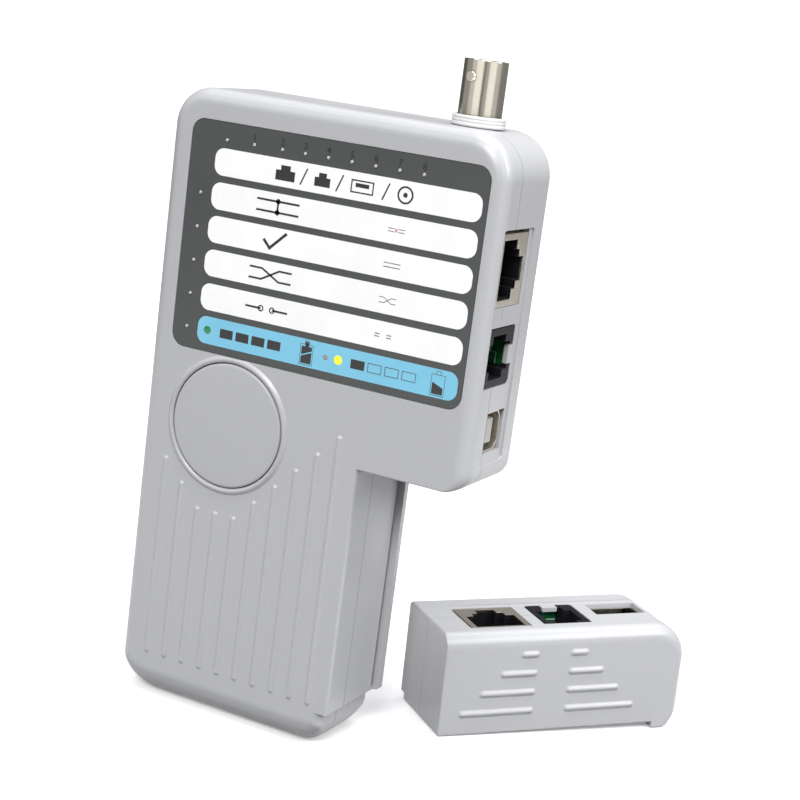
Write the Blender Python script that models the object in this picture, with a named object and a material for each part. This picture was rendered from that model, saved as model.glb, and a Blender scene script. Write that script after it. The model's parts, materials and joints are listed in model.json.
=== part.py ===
"""Handheld network cable tester: an L-shaped main unit and a detachable remote unit.

World frame: metres, +Z up, front of the main unit facing -Y, origin at the middle of
the main unit's base.  Sizes below are in millimetres and are scaled when a mesh is made.
The main unit stands upright.  The remote unit lies on its docking side beside it.
"""
import math

import bmesh
import bpy
from mathutils import Matrix, Vector

MM = 0.001
GAP = 0.3                      # air kept between two separate pieces

# ---------------------------------------------------------------- main unit, outside
DEPTH = 25.2
FRONT_Y = -DEPTH / 2
BACK_Y = DEPTH / 2
LEFT_X = -42.8
RIGHT_X = 42.6
TOP_Z = 147.6
WALL_X = 16.2                  # docking wall on the right of the handle
NOTCH_Z = 69.0                 # underside of the head
FOOT_X = 14.5                  # the foot is set back so that the remote's hook fits
STEP_Z = 9.3
PART_Y = -4.2                  # parting line between the two covers
WALL = 1.8                     # cover thickness

# ---------------------------------------------------------------- front panel
LABEL_X = (-36.6, 39.0)
LABEL_Z = (87.6, 140.6)
LABEL_R = 3.2
LABEL_POCKET = 0.7
LABEL_THICK = 0.35
LED_X = [-27.2, -19.9] + [23.2 - 5.95 * (6 - i) for i in range(7)]
LED_TOP_Z = 136.65
LED_LEFT_X = -32.9
LED_ROW_Z = [123.85 - 7.84 * i for i in range(5)]
BATTERY_LED_X = (-27.1, 4.7, 7.95)
BATTERY_LED_Z = 92.65
BUTTON_C = (-19.0, 71.4)
BUTTON_R = 14.5
BUTTON_HOLE_R = 14.85
BEZEL_R = 15.7
RIB_X0 = -34.8
RIB_PITCH = 5.07
RIB_LOW_Z = 10.8
RIB_TOP_STEPS = [2, 1, 0, 0, 0, 1, 2, 3, 4, 5]
RIB_FLAT_TOP_Z = 50.4
RIB_W = 1.5
RIB_H = 0.5

# ---------------------------------------------------------------- inside the main unit
BOARD_FRONT_Y = -4.0
BOARD_THICK = 1.6
BATTERY_X = (-26.7, -0.5)
BATTERY_Y = (-7.2, 10.0)
BATTERY_Z = (6.2, 51.6)
DOOR_X = (-28.6, 1.4)
DOOR_Z = (8.0, 58.0)
DOOR_AXIS_Y = BACK_Y - 1.3
DOOR_PIN_R = 0.6
DOOR_AXIS_Z = DOOR_Z[0] + 1.15
SCREWS = [(-36.8, 140.6), (37.2, 132.0), (-36.9, 13.5), (10.0, 13.5)]
BNC_X = 28.5
BNC_TOP_Z = 162.0
LUG_TURN = -10.0               # bayonet lugs, degrees from the front

# ---------------------------------------------------------------- ports (shared by both units)
# Port frame: x along the row of ports, y back from the front face, z out of the port face.
MAIN_PORT_TOP_Z = 136.0
RJ45_W, RJ45_H, RJ45_D = 16.0, 13.5, 12.6
RJ11_W, RJ11_H, RJ11_D = 13.2, 12.4, 12.0
RJ11_TAB_W, RJ11_TAB_D = 4.2, 3.2  # tab of the cover in front of the six-way jack's latch
RECESS_DEPTH = 0.4
PORT_SET_BACK = 0.3            # jack faces below the recess floor

# ---------------------------------------------------------------- remote unit
REMOTE_LEN = 67.4
REMOTE_THICK = 26.0
HOOK_X = 59.7
HOOK_DROP = 1.6
REMOTE_PART_Y = 12.6
REMOTE_PLACE = (45.0, 50.0)    # middle of the remote on the floor
REMOTE_YAW = 49.0
REMOTE_SCREWS = [(6.6, 5.7), (56.6, 5.7)]

# ================================================================ helpers


def material(name, color, rough, metal=0.0):
    """A Principled material with one colour."""
    mat = bpy.data.materials.get(name)
    if mat is None:
        mat = bpy.data.materials.new(name)
        mat.use_nodes = True
        bsdf = mat.node_tree.nodes["Principled BSDF"]
        bsdf.inputs["Base Color"].default_value = (*color, 1.0)
        bsdf.inputs["Roughness"].default_value = rough
        bsdf.inputs["Metallic"].default_value = metal
    return mat


def new_object(name, bm, mat, parent=None, origin=(0, 0, 0), smooth=None):
    """Turn a bmesh in millimetres into an object whose origin is at `origin`."""
    bmesh.ops.recalc_face_normals(bm, faces=bm.faces)
    shift = Matrix.Translation(-Vector(origin))
    bm.transform(Matrix.Scale(MM, 4) @ shift)
    mesh = bpy.data.meshes.new(name)
    bm.to_mesh(mesh)
    bm.free()
    obj = bpy.data.objects.new(name, mesh)
    bpy.context.scene.collection.objects.link(obj)
    obj.location = Vector(origin) * MM
    obj.parent = parent
    if mat is not None:
        mesh.materials.append(mat)
    if smooth is not None:
        mesh.shade_smooth()
        mesh.set_sharp_from_angle(angle=math.radians(smooth))
    return obj


def box(bm, low, high):
    """Add an axis-aligned box to a bmesh."""
    size = [h - l for l, h in zip(low, high)]
    middle = [(h + l) / 2 for l, h in zip(low, high)]
    matrix = Matrix.Translation(middle) @ Matrix.Diagonal((*size, 1.0))
    bmesh.ops.create_cube(bm, size=1.0, matrix=matrix)


def loft(bm, loops):
    """Close a stack of equal loops into one solid, with a flat cap at each end."""
    rings = [[bm.verts.new(p) for p in loop] for loop in loops]
    count = len(rings[0])
    for low, high in zip(rings, rings[1:]):
        for i in range(count):
            j = (i + 1) % count
            bm.faces.new((low[i], low[j], high[j], high[i]))
    bm.faces.new(list(reversed(rings[0])))
    bm.faces.new(rings[-1])


AXES = {"x": (1, 2, 0), "y": (0, 2, 1), "z": (0, 1, 2)}


def place(axis, a, b, along):
    """A point with (a, b) across an axis and `along` on it."""
    out = [0.0, 0.0, 0.0]
    ia, ib, ic = AXES[axis]
    out[ia], out[ib], out[ic] = a, b, along
    return tuple(out)


def lathe(bm, axis, centre, profile, sides=24):
    """Solid of revolution from (radius, along) pairs, closed by flat end caps."""
    ca, cb = centre
    loops = []
    for radius, along in profile:
        loops.append([place(axis, ca + radius * math.cos(2 * math.pi * k / sides),
                            cb + radius * math.sin(2 * math.pi * k / sides), along)
                      for k in range(sides)])
    loft(bm, loops)


def ring(bm, axis, centre, profile, sides=24):
    """Tube-like solid of revolution from a closed list of (radius, along) pairs."""
    ca, cb = centre
    rings = []
    for k in range(sides):
        c = math.cos(2 * math.pi * k / sides)
        s = math.sin(2 * math.pi * k / sides)
        rings.append([bm.verts.new(place(axis, ca + r * c, cb + r * s, along)) for r, along in profile])
    count = len(profile)
    for k in range(sides):
        a, b = rings[k], rings[(k + 1) % sides]
        for i in range(count):
            j = (i + 1) % count
            bm.faces.new((a[i], a[j], b[j], b[i]))


def cylinder(bm, axis, centre, radius, low, high, sides=24):
    lathe(bm, axis, centre, [(radius, low), (radius, high)], sides)


def outline(corners, insets):
    """Points around a right-angled outline whose edge i is moved inward by insets[i].

    corners holds (x, z, radius, steps), anticlockwise.  Edge i runs from corner i to i + 1.
    """
    points = []
    count = len(corners)
    for i, (x, z, radius, steps) in enumerate(corners):
        before = Vector(corners[i - 1][:2])
        after = Vector(corners[(i + 1) % count][:2])
        here = Vector((x, z))
        d_in = (here - before).normalized()
        d_out = (after - here).normalized()
        n_in = Vector((-d_in.y, d_in.x))
        n_out = Vector((-d_out.y, d_out.x))
        a, b = insets[i - 1], insets[i]
        corner = here + n_in * a + n_out * b
        if d_in.x * d_out.y - d_in.y * d_out.x > 0:
            ra, rb, side = max(radius - a, 0.06), max(radius - b, 0.06), 1
        else:
            ra, rb, side = radius, radius, -1
        centre = corner + side * (n_in * ra + n_out * rb)
        for k in range(steps + 1):
            t = math.pi / 2 * k / steps
            p = centre - side * (n_in * ra * math.cos(t) + n_out * rb * math.sin(t))
            points.append((p.x, p.y))
    return points


def fillet(radius, depth):
    """How far an edge of this rounding radius is pulled in, `depth` below the face."""
    if depth >= radius:
        return 0.0
    return radius - math.sqrt(radius * radius - (radius - depth) ** 2)


def cover(corners, radii, face_y, rim_y, depths, wall=WALL):
    """Half of a housing: a tray with rounded outer edges, open at rim_y."""
    inward = 1 if rim_y > face_y else -1
    total = abs(rim_y - face_y)
    bm = bmesh.new()
    loops = []
    for d in depths + [total]:
        pts = outline(corners, [fillet(r, d) for r in radii])
        loops.append([(x, face_y + inward * d, z) for x, z in pts])
    for d in [total] + list(reversed(depths)):
        if d + wall > total and d != total:
            continue
        deep = total if d == total else d + wall
        pts = outline(corners, [wall + fillet(max(r - wall, 0.02), deep - wall) for r in radii])
        loops.append([(x, face_y + inward * deep, z) for x, z in pts])
    loft(bm, loops)
    return bm


def helper(name, bm, parent=None):
    """A hidden operand for a Boolean modifier."""
    obj = new_object(name, bm, None, parent)
    obj.hide_render = True
    obj.display_type = "WIRE"
    return obj


def boolean(obj, operand, operation):
    mod = obj.modifiers.new(operand.name, "BOOLEAN")
    mod.operation = operation
    mod.solver = "EXACT"
    mod.object = operand


def cut(obj, operand):
    boolean(obj, operand, "DIFFERENCE")


def unite(obj, operand):
    boolean(obj, operand, "UNION")


def empty(name, location, rotation=(0, 0, 0)):
    obj = bpy.data.objects.new(name, None)
    bpy.context.scene.collection.objects.link(obj)
    obj.location = Vector(location) * MM
    obj.rotation_euler = rotation
    return obj


def rounded_slab(bm, x, z, y, radius, steps=6):
    """Flat slab across X and Z with rounded corners, between two y values."""
    corners = [(x[0], z[0], radius, steps), (x[1], z[0], radius, steps),
               (x[1], z[1], radius, steps), (x[0], z[1], radius, steps)]
    pts = outline(corners, [0, 0, 0, 0])
    loft(bm, [[(px, yy, pz) for px, pz in pts] for yy in y])


def prism(bm, points, axis, low, high):
    """Extrude a polygon of (a, b) points along an axis."""
    loft(bm, [[place(axis, a, b, along) for a, b in points] for along in (low, high)])


def rib(bm, start, end, across, width, base, top):
    """Raised bar with round ends and a softened crown, from start to end.

    `across` turns (along, side, level) into a point.
    """
    loops = []
    for radius, level in ((width / 2, base), (width / 2, top[0]), (width / 2 - 0.35, top[1])):
        loop = []
        for centre, turn in ((end - width / 2, 0.0), (start + width / 2, math.pi)):
            for k in range(5):
                t = turn - math.pi / 2 + math.pi * k / 4
                loop.append(across(centre + radius * math.cos(t), radius * math.sin(t), level))
        loops.append(loop)
    loft(bm, loops)


# ================================================================ materials

SHELL = ("shell_grey", (0.52, 0.53, 0.55), 0.42)
CHARCOAL = ("label_charcoal", (0.06, 0.065, 0.062), 0.5)
BLACK = ("black_plastic", (0.02, 0.02, 0.022), 0.45)
WHITE = ("white_plastic", (0.82, 0.82, 0.8), 0.4)
NICKEL = ("nickel", (0.68, 0.66, 0.6), 0.28, 1.0)
TIN = ("tinned_steel", (0.55, 0.52, 0.45), 0.35, 1.0)
GOLD = ("gold_contact", (0.83, 0.62, 0.25), 0.3, 1.0)
GREEN = ("board_green", (0.02, 0.16, 0.06), 0.45)
STEEL = ("screw_steel", (0.35, 0.35, 0.36), 0.35, 1.0)
LENS = ("led_lens", (0.7, 0.75, 0.7), 0.25)
CELL = ("battery_jacket", (0.12, 0.13, 0.16), 0.35)


def mat(spec):
    return material(*spec)


# ================================================================ main covers

MAIN_CORNERS = [
    (LEFT_X, 0.0, 9.0, 6), (FOOT_X, 0.0, 5.0, 5), (FOOT_X, STEP_Z, 0.3, 1),
    (WALL_X, STEP_Z, 0.4, 1), (WALL_X, NOTCH_Z, 0.5, 2), (RIGHT_X, NOTCH_Z, 5.0, 5),
    (RIGHT_X, TOP_Z, 10.0, 7), (LEFT_X, TOP_Z, 9.0, 7)]
MAIN_FRONT_RADII = [7.5, 1.5, 0.3, 0.8, 0.4, 3.6, 3.6, 3.6]
MAIN_BACK_RADII = [6.5, 3.0, 0.3, 0.8, 0.4, 2.4, 2.4, 2.4]


def port_cutters(name, parent, recess, openings):
    """Shallow recess and the port openings, cut through the wall behind it."""
    bm = bmesh.new()
    (x0, x1), (y0, y1) = recess
    box(bm, (x0, y0, -RECESS_DEPTH), (x1, y1, 3.0))
    outer = helper(name + "_recess_cut", bm, parent)
    bm = bmesh.new()
    for (ax, bx), (ay, by) in openings:
        box(bm, (ax, ay, -6.0), (bx, by, 2.0))
    return outer, helper(name + "_openings_cut", bm, parent)


def screw_boss_parts(places, axis_from, axis_to, radius, name, parent=None):
    bm = bmesh.new()
    for centre in places:
        cylinder(bm, "y", centre, radius, axis_from, axis_to, 20)
    return helper(name, bm, parent)


def main_front_shell(port_cuts):
    bm = cover(MAIN_CORNERS, MAIN_FRONT_RADII, FRONT_Y, PART_Y - GAP / 2,
               [0.0, 0.2, 0.7, 1.5, 2.5, 3.6, 5.5, 7.5])
    shell = new_object("front_shell", bm, mat(SHELL), smooth=35)

    bm = bmesh.new()
    for i, step in enumerate(RIB_TOP_STEPS):
        x = RIB_X0 + RIB_PITCH * i
        rib(bm, RIB_LOW_Z, RIB_FLAT_TOP_Z + RIB_PITCH * step,
            lambda along, side, level, x=x: (x + side, level, along),
            RIB_W, FRONT_Y + 0.6, (FRONT_Y - RIB_H + 0.3, FRONT_Y - RIB_H))
    unite(shell, helper("grip_ribs_add", bm))

    unite(shell, screw_boss_parts(SCREWS, FRONT_Y + WALL - 0.4, PART_Y - 0.6, 2.9, "front_boss_add"))

    bm = bmesh.new()
    for centre in SCREWS:
        cylinder(bm, "y", centre, 1.35, PART_Y - 5.2, PART_Y + 2, 12)
    cut(shell, helper("front_holes_cut", bm))

    bm = bmesh.new()
    rounded_slab(bm, (LABEL_X[0] - 0.2, LABEL_X[1] + 0.2), (LABEL_Z[0] - 0.2, LABEL_Z[1] + 0.2),
                 (FRONT_Y - 1, FRONT_Y + LABEL_POCKET), LABEL_R + 0.2)
    cut(shell, helper("label_pocket_cut", bm))

    bm = bmesh.new()
    slot = 1.35
    y0, y1 = FRONT_Y - 0.5, FRONT_Y + WALL + 1
    box(bm, (LED_X[0] - slot, y0, LED_TOP_Z - slot), (LED_X[-1] + slot, y1, LED_TOP_Z + slot))
    box(bm, (LED_LEFT_X - slot, y0, LED_ROW_Z[-1] - slot), (LED_LEFT_X + slot, y1, LED_ROW_Z[0] + slot))
    for x in (BATTERY_LED_X[0], sum(BATTERY_LED_X[1:]) / 2):
        box(bm, (x - 3.4, y0, BATTERY_LED_Z - slot), (x + 3.4, y1, BATTERY_LED_Z + slot))
    cut(shell, helper("led_slots_cut", bm))
    for cutter in port_cuts:
        cut(shell, cutter)
    bm = bmesh.new()
    cylinder(bm, "z", (BNC_X, 0.0), 4.8, TOP_Z - 5, TOP_Z + 5, 32)
    cut(shell, helper("bnc_front_cut", bm))

    bm = bmesh.new()
    cylinder(bm, "y", BUTTON_C, BUTTON_HOLE_R + 0.25, FRONT_Y - 2, FRONT_Y + WALL + 1, 40)
    cut(shell, helper("button_hole_cut", bm))
    bm = bmesh.new()
    ring(bm, "y", BUTTON_C, [(BUTTON_HOLE_R, FRONT_Y + 1.2), (BEZEL_R, FRONT_Y + 1.2),
                             (BEZEL_R, FRONT_Y - 0.2), (BEZEL_R - 0.25, FRONT_Y - 0.45),
                             (BUTTON_HOLE_R, FRONT_Y - 0.45)], 48)
    unite(shell, helper("bezel_add", bm))


def main_rear_shell(port_cuts):
    bm = cover(MAIN_CORNERS, MAIN_BACK_RADII, BACK_Y, PART_Y + GAP / 2,
               [0.0, 0.2, 0.6, 1.3, 2.4, 4.2, 6.5])
    shell = new_object("rear_shell", bm, mat(SHELL), smooth=35)

    bm = bmesh.new()
    rail = [(WALL_X - 0.6, STEP_Z + 0.2), (WALL_X + 1.0, STEP_Z + 0.2), (WALL_X + 1.5, STEP_Z + 0.8),
            (WALL_X + 1.5, NOTCH_Z + 0.6), (WALL_X - 0.6, NOTCH_Z + 0.6)]
    prism(bm, rail, "y", 10.4, BACK_Y - 0.4)
    unite(shell, helper("rail_add", bm))
    unite(shell, screw_boss_parts(SCREWS, PART_Y + 0.5, BACK_Y - WALL + 0.5, 4.0, "rear_boss_add"))
    bm = bmesh.new()
    for x in (DOOR_X[0] - 1.7, DOOR_X[1] + 0.5):
        box(bm, (x, -5.0, 4.5), (x + 1.2, BACK_Y - 1.0, DOOR_Z[1] + 1.4))
    unite(shell, helper("compartment_add", bm))

    bm = bmesh.new()
    for centre in SCREWS:
        lathe(bm, "y", centre, [(1.35, PART_Y - 2), (1.35, 2.0), (2.8, 2.0), (2.8, BACK_Y + 2)], 20)
    cut(shell, helper("rear_screw_cut", bm))
    bm = bmesh.new()
    box(bm, (WALL_X - 0.8, 9.1, STEP_Z + 1.0), (WALL_X + 0.5, 10.4, NOTCH_Z - 0.5))
    cut(shell, helper("rail_groove_cut", bm))
    bm = bmesh.new()
    box(bm, (DOOR_X[0] - GAP, BACK_Y - 4, DOOR_Z[0] - GAP), (DOOR_X[1] + GAP, BACK_Y + 2, DOOR_Z[1] + GAP))
    cut(shell, helper("door_opening_cut", bm))
    bm = bmesh.new()
    cylinder(bm, "x", (DOOR_AXIS_Y, DOOR_AXIS_Z), DOOR_PIN_R + GAP, DOOR_X[0] - 1.35, DOOR_X[1] + 1.35, 16)
    cut(shell, helper("door_pin_cut", bm))
    for cutter in port_cuts:
        cut(shell, cutter)
    bm = bmesh.new()
    cylinder(bm, "z", (BNC_X, 0.0), 4.8, TOP_Z - 5, TOP_Z + 5, 32)
    cut(shell, helper("bnc_rear_cut", bm))


# ================================================================ main, front parts


def label():
    bm = bmesh.new()
    back = FRONT_Y + LABEL_POCKET - GAP
    rounded_slab(bm, LABEL_X, LABEL_Z, (back - LABEL_THICK, back), LABEL_R)
    new_object("label_overlay", bm, mat(CHARCOAL))


def test_button():
    """Pressed button: round cap, retaining flange behind the cover, and a centre post."""
    cx, cz = BUTTON_C
    flange = FRONT_Y + WALL + GAP
    bm = bmesh.new()
    lathe(bm, "y", BUTTON_C, [
        (2.4, flange + 1.9), (2.4, flange + 0.9), (BUTTON_HOLE_R + 1.3, flange + 0.9),
        (BUTTON_HOLE_R + 1.3, flange), (BUTTON_R, flange), (BUTTON_R, FRONT_Y - 0.25),
        (BUTTON_R - 0.4, FRONT_Y - 0.6), (BUTTON_R - 5.0, FRONT_Y - 0.8), (2.0, FRONT_Y - 0.9)], 48)
    new_object("test_button", bm, mat(SHELL), origin=(cx, FRONT_Y, cz), smooth=35)


def tactile_switch():
    cx, cz = BUTTON_C
    low = BOARD_FRONT_Y - GAP
    bm = bmesh.new()
    box(bm, (cx - 6, low - 3.2, cz - 6), (cx + 6, low, cz + 6))
    body = new_object("switch_body", bm, mat(BLACK))
    bm = bmesh.new()
    cylinder(bm, "y", BUTTON_C, 2.2, low - 5.0, low - 0.7, 16)
    cut(body, helper("switch_well_cut", bm))
    bm = bmesh.new()
    cylinder(bm, "y", BUTTON_C, 1.8, -8.4, low - 2.0, 16)
    new_object("switch_plunger", bm, mat(WHITE), origin=(cx, -8.4, cz), smooth=35)


def main_board():
    pts = [(-38.0, 60.0), (12.0, 60.0), (12.0, 73.0), (25.4, 73.0), (25.4, 140.0), (-31.6, 140.0),
           (-31.6, 134.8), (-38.0, 134.8)]
    bm = bmesh.new()
    prism(bm, pts, "y", BOARD_FRONT_Y, BOARD_FRONT_Y + BOARD_THICK)
    new_object("main_board", bm, mat(GREEN))
    bm = bmesh.new()
    back = BOARD_FRONT_Y + BOARD_THICK + GAP
    box(bm, (-12.0, back, 100.0), (8.0, back + 3.2, 108.0))
    new_object("controller_chip", bm, mat(BLACK))


def led_strip(name, places):
    """Row of round LEDs standing on one common spacer bar."""
    low = BOARD_FRONT_Y - GAP
    xs = [p[0] for p in places]
    zs = [p[1] for p in places]
    bm = bmesh.new()
    box(bm, (min(xs) - 1.6, low - 2.0, min(zs) - 1.6), (max(xs) + 1.6, low, max(zs) + 1.6))
    strip = new_object(name, bm, mat(LENS))
    bm = bmesh.new()
    for centre in places:
        lathe(bm, "y", centre, [(1.0, low - 1.0), (1.0, FRONT_Y + 1.6), (0.6, FRONT_Y + 1.15)], 12)
    unite(strip, helper(name + "_add", bm))


# ================================================================ main, battery


def battery():
    bm = bmesh.new()
    corners = [(BATTERY_X[0], BATTERY_Y[0], 1.6, 3), (BATTERY_X[1], BATTERY_Y[0], 1.6, 3),
               (BATTERY_X[1], BATTERY_Y[1], 1.6, 3), (BATTERY_X[0], BATTERY_Y[1], 1.6, 3)]
    pts = outline(corners, [0, 0, 0, 0])
    prism(bm, pts, "z", *BATTERY_Z)
    cell = new_object("battery_9v", bm, mat(CELL), smooth=35)
    mid_x, mid_y = sum(BATTERY_X) / 2, sum(BATTERY_Y) / 2
    bm = bmesh.new()
    for side in (-1, 1):
        cylinder(bm, "z", (mid_x + side * 6.35, mid_y), 2.8, BATTERY_Z[1] - 0.5, BATTERY_Z[1] + 2.4, 14)
    unite(cell, helper("battery_terminals_add", bm))
    bm = bmesh.new()
    low = BATTERY_Z[1] + GAP
    box(bm, (mid_x - 12.5, mid_y - 6.2, low), (mid_x + 12.5, mid_y + 6.2, low + 4.0))
    snap = new_object("battery_snap", bm, mat(BLACK))
    bm = bmesh.new()
    for side in (-1, 1):
        cylinder(bm, "z", (mid_x + side * 6.35, mid_y), 3.15, low - 1, low + 2.6, 14)
    cut(snap, helper("battery_snap_cut", bm))


def battery_door():
    """Lid on the back that tilts out about the pins at its lower edge."""
    axis_z = DOOR_AXIS_Z
    inner = BACK_Y - WALL
    bm = bmesh.new()
    nose = [(DOOR_AXIS_Y - 0.9 * math.sin(t), axis_z - 0.9 * math.cos(t))
            for t in [math.pi / 2 * k / 4 for k in range(5)]]
    skirt = [(BACK_Y, DOOR_Z[1]), (BACK_Y, axis_z + 0.5), (BACK_Y - 0.45, axis_z - 0.55)]
    pts = skirt + nose + [(inner - 0.4, axis_z + 0.6), (inner, axis_z + 1.4), (inner, DOOR_Z[1])]
    prism(bm, pts, "x", *DOOR_X)
    door = new_object("battery_door", bm, mat(SHELL), origin=(0, DOOR_AXIS_Y, axis_z))
    bm = bmesh.new()
    cylinder(bm, "x", (DOOR_AXIS_Y, axis_z), DOOR_PIN_R, DOOR_X[0] - 1.0, DOOR_X[1] + 1.0, 12)
    unite(door, helper("door_pin_add", bm))
    mid = sum(DOOR_X) / 2
    bm = bmesh.new()
    for i in range(4):
        z = DOOR_Z[1] - 8.0 + 1.5 * i
        box(bm, (mid - 6.0, BACK_Y - 0.5, z), (mid + 6.0, BACK_Y + 1, z + 0.7))
    cut(door, helper("door_grip_cut", bm))


# ================================================================ BNC socket


def bnc():
    axis = (BNC_X, 0.0)
    seat = TOP_Z + GAP
    bm = bmesh.new()
    ring(bm, "z", axis, [
        (1.2, 141.0), (4.4, 141.0), (4.4, seat), (4.7, seat + 0.1), (4.7, seat + 3.2), (4.85, seat + 3.4),
        (4.85, BNC_TOP_Z - 0.4), (4.6, BNC_TOP_Z), (4.15, BNC_TOP_Z), (4.0, BNC_TOP_Z - 0.3),
        (4.0, 152.6), (1.2, 152.6)], 36)
    barrel = new_object("bnc_barrel", bm, mat(NICKEL), smooth=40)
    bm = bmesh.new()
    cylinder(bm, "y", (0.0, 158.4), 1.0, -5.6, -4.4, 12)
    cylinder(bm, "y", (0.0, 158.4), 1.0, 4.4, 5.6, 12)
    bm.transform(Matrix.Translation((BNC_X, 0, 0)) @ Matrix.Rotation(math.radians(LUG_TURN), 4, "Z"))
    unite(barrel, helper("bnc_lugs_add", bm))
    bm = bmesh.new()
    ring(bm, "z", axis, [(1.0, 152.9), (2.4, 152.9), (2.4, 160.6), (1.0, 160.6)], 20)
    new_object("bnc_insulator", bm, mat(WHITE), smooth=40)
    bm = bmesh.new()
    cylinder(bm, "z", axis, 0.7, 134.0, 160.2, 12)
    new_object("bnc_centre_contact", bm, mat(GOLD), smooth=40)

    bm = bmesh.new()
    outer, groove = 6.3, 5.85
    ridges = [(outer, 0.0), (outer, 0.9), (groove, 1.05), (groove, 1.3), (outer - 0.1, 1.45),
              (outer - 0.1, 2.1), (outer - 0.4, 2.5), (5.15, 2.5), (5.15, 0.0)]
    ring(bm, "z", axis, [(r, seat + z) for r, z in ridges], 40)
    new_object("bnc_collar", bm, mat(WHITE), smooth=40)

    bm = bmesh.new()
    low, high = TOP_Z - WALL - 3.0, TOP_Z - WALL - 0.6
    cylinder(bm, "z", axis, 6.0, low, high, 6)
    nut = new_object("bnc_nut", bm, mat(NICKEL))
    bm = bmesh.new()
    cylinder(bm, "z", axis, 4.4 + GAP, low - 1, high + 1, 24)
    cut(nut, helper("bnc_nut_cut", bm))


# ================================================================ jacks, in the port frame


def rj45_window(x0, y0, grow=0.0):
    """Plug opening of an eight-way jack, latch steps towards +y, as (x, y) points."""
    mid = x0 + RJ45_W / 2
    low = y0 + 1.7 - grow
    steps = [(6.2 + grow, low), (6.2 + grow, low + 7.0 + grow), (4.0 + grow, low + 7.0 + grow),
             (4.0 + grow, low + 8.6 + grow), (2.4 + grow, low + 8.6 + grow), (2.4 + grow, low + 10.9 + grow)]
    right = [(mid + dx, y) for dx, y in steps]
    left = [(mid - dx, y) for dx, y in reversed(steps)]
    return right + left


def rj45(prefix, parent, x0, y0):
    top = -RECESS_DEPTH - PORT_SET_BACK
    low = top - RJ45_D
    sheet = 0.4
    bm = bmesh.new()
    box(bm, (x0, y0, low), (x0 + RJ45_W, y0 + RJ45_H, top))
    shield = new_object(prefix + "rj45_shield", bm, mat(TIN), parent)
    bm = bmesh.new()
    box(bm, (x0 + sheet, y0 + sheet, low - 1), (x0 + RJ45_W - sheet, y0 + RJ45_H - sheet, top - sheet))
    cut(shield, helper(prefix + "rj45_inside_cut", bm, parent))
    bm = bmesh.new()
    prism(bm, rj45_window(x0, y0), "z", top - 2, top + 1)
    cut(shield, helper(prefix + "rj45_window_cut", bm, parent))

    edge = sheet + GAP
    bm = bmesh.new()
    box(bm, (x0 + edge, y0 + edge, low), (x0 + RJ45_W - edge, y0 + RJ45_H - edge, top - edge))
    insert = new_object(prefix + "rj45_insert", bm, mat(BLACK), parent)
    bm = bmesh.new()
    prism(bm, rj45_window(x0, y0, -0.15), "z", low + 1.5, top + 1)
    cut(insert, helper(prefix + "rj45_plug_cut", bm, parent))

    mid = x0 + RJ45_W / 2
    bm = bmesh.new()
    base = low + 1.5 + GAP
    y_low = y0 + 1.85 + GAP
    box(bm, (mid - 4.2, y_low, base), (mid + 4.2, y_low + 0.5, base + 0.8))
    comb = new_object(prefix + "rj45_contacts", bm, mat(GOLD), parent)
    bm = bmesh.new()
    for i in range(8):
        x = mid + (i - 3.5) * 1.02
        pts = [(y_low + 0.1, base + 0.4), (y_low + 0.45, base + 0.4),
               (y_low + 1.9, base + 8.0), (y_low + 1.5, base + 8.0)]
        prism(bm, pts, "x", x - 0.2, x + 0.2)
    unite(comb, helper(prefix + "rj45_contacts_add", bm, parent))


def rj11(prefix, parent, x0, y0):
    """Six-way jack: two ears on a common floor, open at the back where the board shows."""
    top = -RECESS_DEPTH - PORT_SET_BACK
    low = top - RJ11_D
    mid = x0 + RJ11_W / 2
    bm = bmesh.new()
    box(bm, (x0, y0, low), (x0 + RJ11_W, y0 + RJ11_H, top))
    frame = new_object(prefix + "rj11_housing", bm, mat(BLACK), parent)
    bm = bmesh.new()
    pts = [(mid + 4.9, y0 + 1.6), (mid + 4.9, y0 + 8.4), (mid + 3.1, y0 + 8.4), (mid + 3.1, y0 + 10.8),
           (mid - 3.1, y0 + 10.8), (mid - 3.1, y0 + 8.4), (mid - 4.9, y0 + 8.4), (mid - 4.9, y0 + 1.6)]
    prism(bm, pts, "z", low + 2.0, top + 1)
    cut(frame, helper(prefix + "rj11_plug_cut", bm, parent))
    bm = bmesh.new()
    box(bm, (mid - 2.9, y0 + 10.0, low + 3.0), (mid + 2.9, y0 + RJ11_H + 1, -1.9))
    cut(frame, helper(prefix + "rj11_back_cut", bm, parent))
    bm = bmesh.new()
    box(bm, (mid - 3.0, y0 - 1, -6.0), (mid + 3.0, y0 + 2.0, 1))
    cut(frame, helper(prefix + "rj11_front_cut", bm, parent))
    bm = bmesh.new()
    reach = RJ11_TAB_W / 2 + GAP
    tab_y = y0 + RJ11_H - RJ11_TAB_D
    box(bm, (mid - reach, tab_y - GAP, -WALL - GAP - 0.1), (mid + reach, y0 + RJ11_H + 1, 1))
    cut(frame, helper(prefix + "rj11_tab_cut", bm, parent))

    base = low + 2.0 + GAP
    y_low = y0 + 1.6 + GAP
    bm = bmesh.new()
    box(bm, (mid - 2.3, y_low, base), (mid + 2.3, y_low + 0.5, base + 0.8))
    comb = new_object(prefix + "rj11_contacts", bm, mat(GOLD), parent)
    bm = bmesh.new()
    for i in range(4):
        x = mid + (i - 1.5) * 1.02
        pts = [(y_low + 0.1, base + 0.4), (y_low + 0.45, base + 0.4),
               (y_low + 1.9, base + 7.0), (y_low + 1.5, base + 7.0)]
        prism(bm, pts, "x", x - 0.2, x + 0.2)
    unite(comb, helper(prefix + "rj11_contacts_add", bm, parent))


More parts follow.
